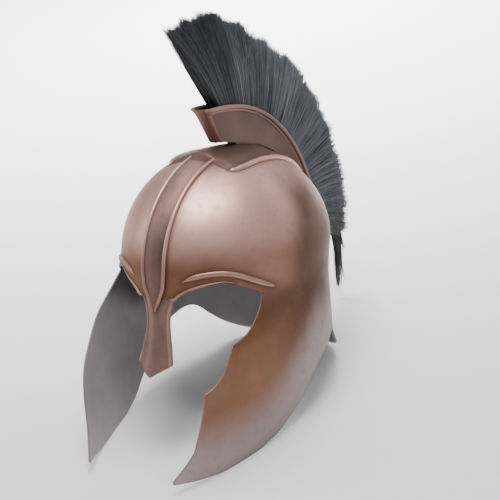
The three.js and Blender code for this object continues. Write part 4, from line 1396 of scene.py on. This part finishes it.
# Lamps with their place, aim, size, power, spread in degrees and tint
Lamp = namedtuple("Lamp", "name place aim size power spread tint")
HEART = (0, 0, 0.17)
LAMPS = [
    Lamp("overhead", (0.24, -0.24, 1.75), HEART, 1.0, 30, 180, (1.0, 0.985, 0.97)),
    Lamp("left_fill", (-1.7, -0.9, 0.9), HEART, 1.3, 9, 180, (1.0, 0.99, 0.98)),
    Lamp("back_wash", (0.5, 1.9, 0.9), HEART, 1.5, 8, 180, (0.97, 0.985, 1.0)),
    Lamp("floor_wash", (-0.8, 1.25, 1.8), (-0.8, 1.25, 0), 1.7, 60, 70, (1.0, 1.0, 1.0)),
]


def build_lights(scene):
    """Soft round lamps and an even pale surround."""
    for lamp in LAMPS:
        data = bpy.data.lights.new(lamp.name, "AREA")
        data.shape = "DISK"
        data.size = lamp.size
        data.energy = lamp.power
        data.color = lamp.tint
        data.spread = math.radians(lamp.spread)
        put(lamp.name, data).matrix_world = aimed(lamp.place, lamp.aim)
    world = bpy.data.worlds.new("studio")
    world.use_nodes = True
    backdrop = world.node_tree.nodes["Background"]
    backdrop.inputs["Color"].default_value = (0.93, 0.95, 0.97, 1)
    backdrop.inputs["Strength"].default_value = 0.6
    scene.world = world


def build_camera(scene, settings):
    """Camera at the picture's angle to the helmet, worked out in the helmet's own frame."""
    s = scene_group("helmet_shell")
    a, e, r = settings.azimuth, settings.elevation, settings.roll
    back = np.array([math.sin(a) * math.cos(e), math.cos(a) * math.cos(e), math.sin(e)])
    flat = np.array([math.cos(a), -math.sin(a), 0.0])
    upright = np.cross(flat, back)
    right = flat * math.cos(r) + upright * math.sin(r)
    up = upright * math.cos(r) - flat * math.sin(r)
    aim = np.array([0, 0, settings.aim_up * 1000]) + right * settings.aside * 1000
    origin = to_row(np.zeros((1, 3)), s)[0]
    right, up, back = (to_row(v[None] * 1000, s)[0] - origin for v in (right, up, back))
    place = to_row(aim[None], s)[0] + back * settings.distance
    data = bpy.data.cameras.new("camera")
    data.lens = settings.lens
    data.sensor_width = 36
    data.clip_end = 60
    camera = put("camera", data)
    camera.matrix_world = placed(right, up, back, place)
    scene.camera = camera


# Operators
class HELMET_OT_shell(bpy.types.Operator):
    """Builds the metal shell with its band, saddle, brow ribs and nasal guard"""

    bl_idname = "helmet.shell"
    bl_label = "Metal Shell"

    def execute(self, context):
        s, colours = scene_group("helmet_shell"), context.scene.helmet_finishes
        face = shell_face(s)
        whole = Gathered()
        whole.take(*sheet_between(*face, s.sheet, s.sheet * 0.3), 2 * len(face[0]))
        nasal_sheet, nasal_bulge = 2.4, 0.8
        whole.take(*sheet_between(*nasal_face(), nasal_sheet, nasal_bulge))
        band_relief(s, whole)
        saddle_relief(s, whole)
        brow_ribs(s, whole)
        brow_borders(s, whole)
        materials = [copper_finish(colours), inside_finish(colours), band_finish(colours)]
        piece = make_piece("shell_skin", whole, materials, s)
        shell_looks(piece, s, whole.kept_marks)
        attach(piece, "root")
        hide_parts("shell")
        return {"FINISHED"}


class HELMET_OT_crest(bpy.types.Operator):
    """Builds the crest box with its rolled rim, end plates and keel"""

    bl_idname = "helmet.crest"
    bl_label = "Crest Box"

    def execute(self, context):
        s, c = scene_group("helmet_shell"), scene_group("helmet_crest")
        whole = Gathered()
        crest_channel(s, c, whole)
        crest_plate(0, 0.2, c.corner - 0.5, s, c, whole)
        crest_plate(len(CREST) - 1, -0.3, 0.1, s, c, whole)
        crest_keel(s, whole)
        piece = make_piece("crest_sheet", whole, [crest_finish(context.scene.helmet_finishes)], s, "wear")
        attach(piece, "root")
        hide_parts("crest_box")
        return {"FINISHED"}


class HELMET_OT_plume(bpy.types.Operator):
    """Builds the hair plume: its packed backing and the combed strands over it"""

    bl_idname = "helmet.plume"
    bl_label = "Hair Plume"

    def execute(self, context):
        s, k = scene_group("helmet_shell"), scene_group("helmet_plume")
        colours = context.scene.helmet_finishes
        packed = Gathered()
        plume_backing(packed)
        backing = make_piece("plume_backing", packed, [backing_finish(colours)], s, "lane")
        hair = hair_finish(colours)
        tree = hair_tree()
        last = len(FAN) - 1
        stretches = [("plume_front", 0, last * 0.3), ("plume_crown", last * 0.3, last * 0.62),
                     ("plume_back", last * 0.62, last)]
        pieces = [backing]
        for number, (name, first, end) in enumerate(stretches):
            ribbons = [root_ribbon(first, end, k)]
            if number == len(stretches) - 1:
                ribbons.append(tail_ribbon())
            pieces.append(comb_out(name, ribbons, tree, k, s, hair, 11 + 7 * number))
        for piece in pieces:
            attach(piece, "root")
        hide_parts("plume")
        return {"FINISHED"}


class HELMET_OT_stage(bpy.types.Operator):
    """Builds the floor, the lights and the camera"""

    bl_idname = "helmet.stage"
    bl_label = "Stage"

    def execute(self, context):
        settings = context.scene.helmet_stage
        build_floor(settings)
        build_lights(context.scene)
        build_camera(context.scene, settings)
        return {"FINISHED"}


class HELMET_PT_panel(bpy.types.Panel):
    """Sizes, colours and steps of the helmet"""

    bl_idname = "HELMET_PT_panel"
    bl_label = "Crested Helmet"
    bl_space_type = "VIEW_3D"
    bl_region_type = "UI"
    bl_category = "Helmet"

    def draw(self, context):
        layout = self.layout
        for operator in (HELMET_OT_shell, HELMET_OT_crest, HELMET_OT_plume, HELMET_OT_stage):
            layout.operator(operator.bl_idname)
        for name in GROUPS:
            group = getattr(context.scene, name)
            box = layout.box()
            for prop in group.bl_rna.properties.keys():
                if prop not in ("rna_type", "name"):
                    box.prop(group, prop)


GROUPS = {
    "helmet_shell": ShellSizes,
    "helmet_crest": CrestSizes,
    "helmet_plume": PlumeSizes,
    "helmet_finishes": Finishes,
    "helmet_stage": StageSettings,
}
CLASSES = (*GROUPS.values(), HELMET_OT_shell, HELMET_OT_crest, HELMET_OT_plume, HELMET_OT_stage,
           HELMET_PT_panel)


def register():
    for made in CLASSES:
        bpy.utils.register_class(made)
    for name, group in GROUPS.items():
        setattr(bpy.types.Scene, name, bpy.props.PointerProperty(type=group))


def unregister():
    for name in GROUPS:
        delattr(bpy.types.Scene, name)
    for made in reversed(CLASSES):
        bpy.utils.unregister_class(made)


def main():
    register()
    bpy.ops.helmet.shell()
    bpy.ops.helmet.crest()
    bpy.ops.helmet.plume()
    bpy.ops.helmet.stage()


if __name__ == "__main__":
    main()
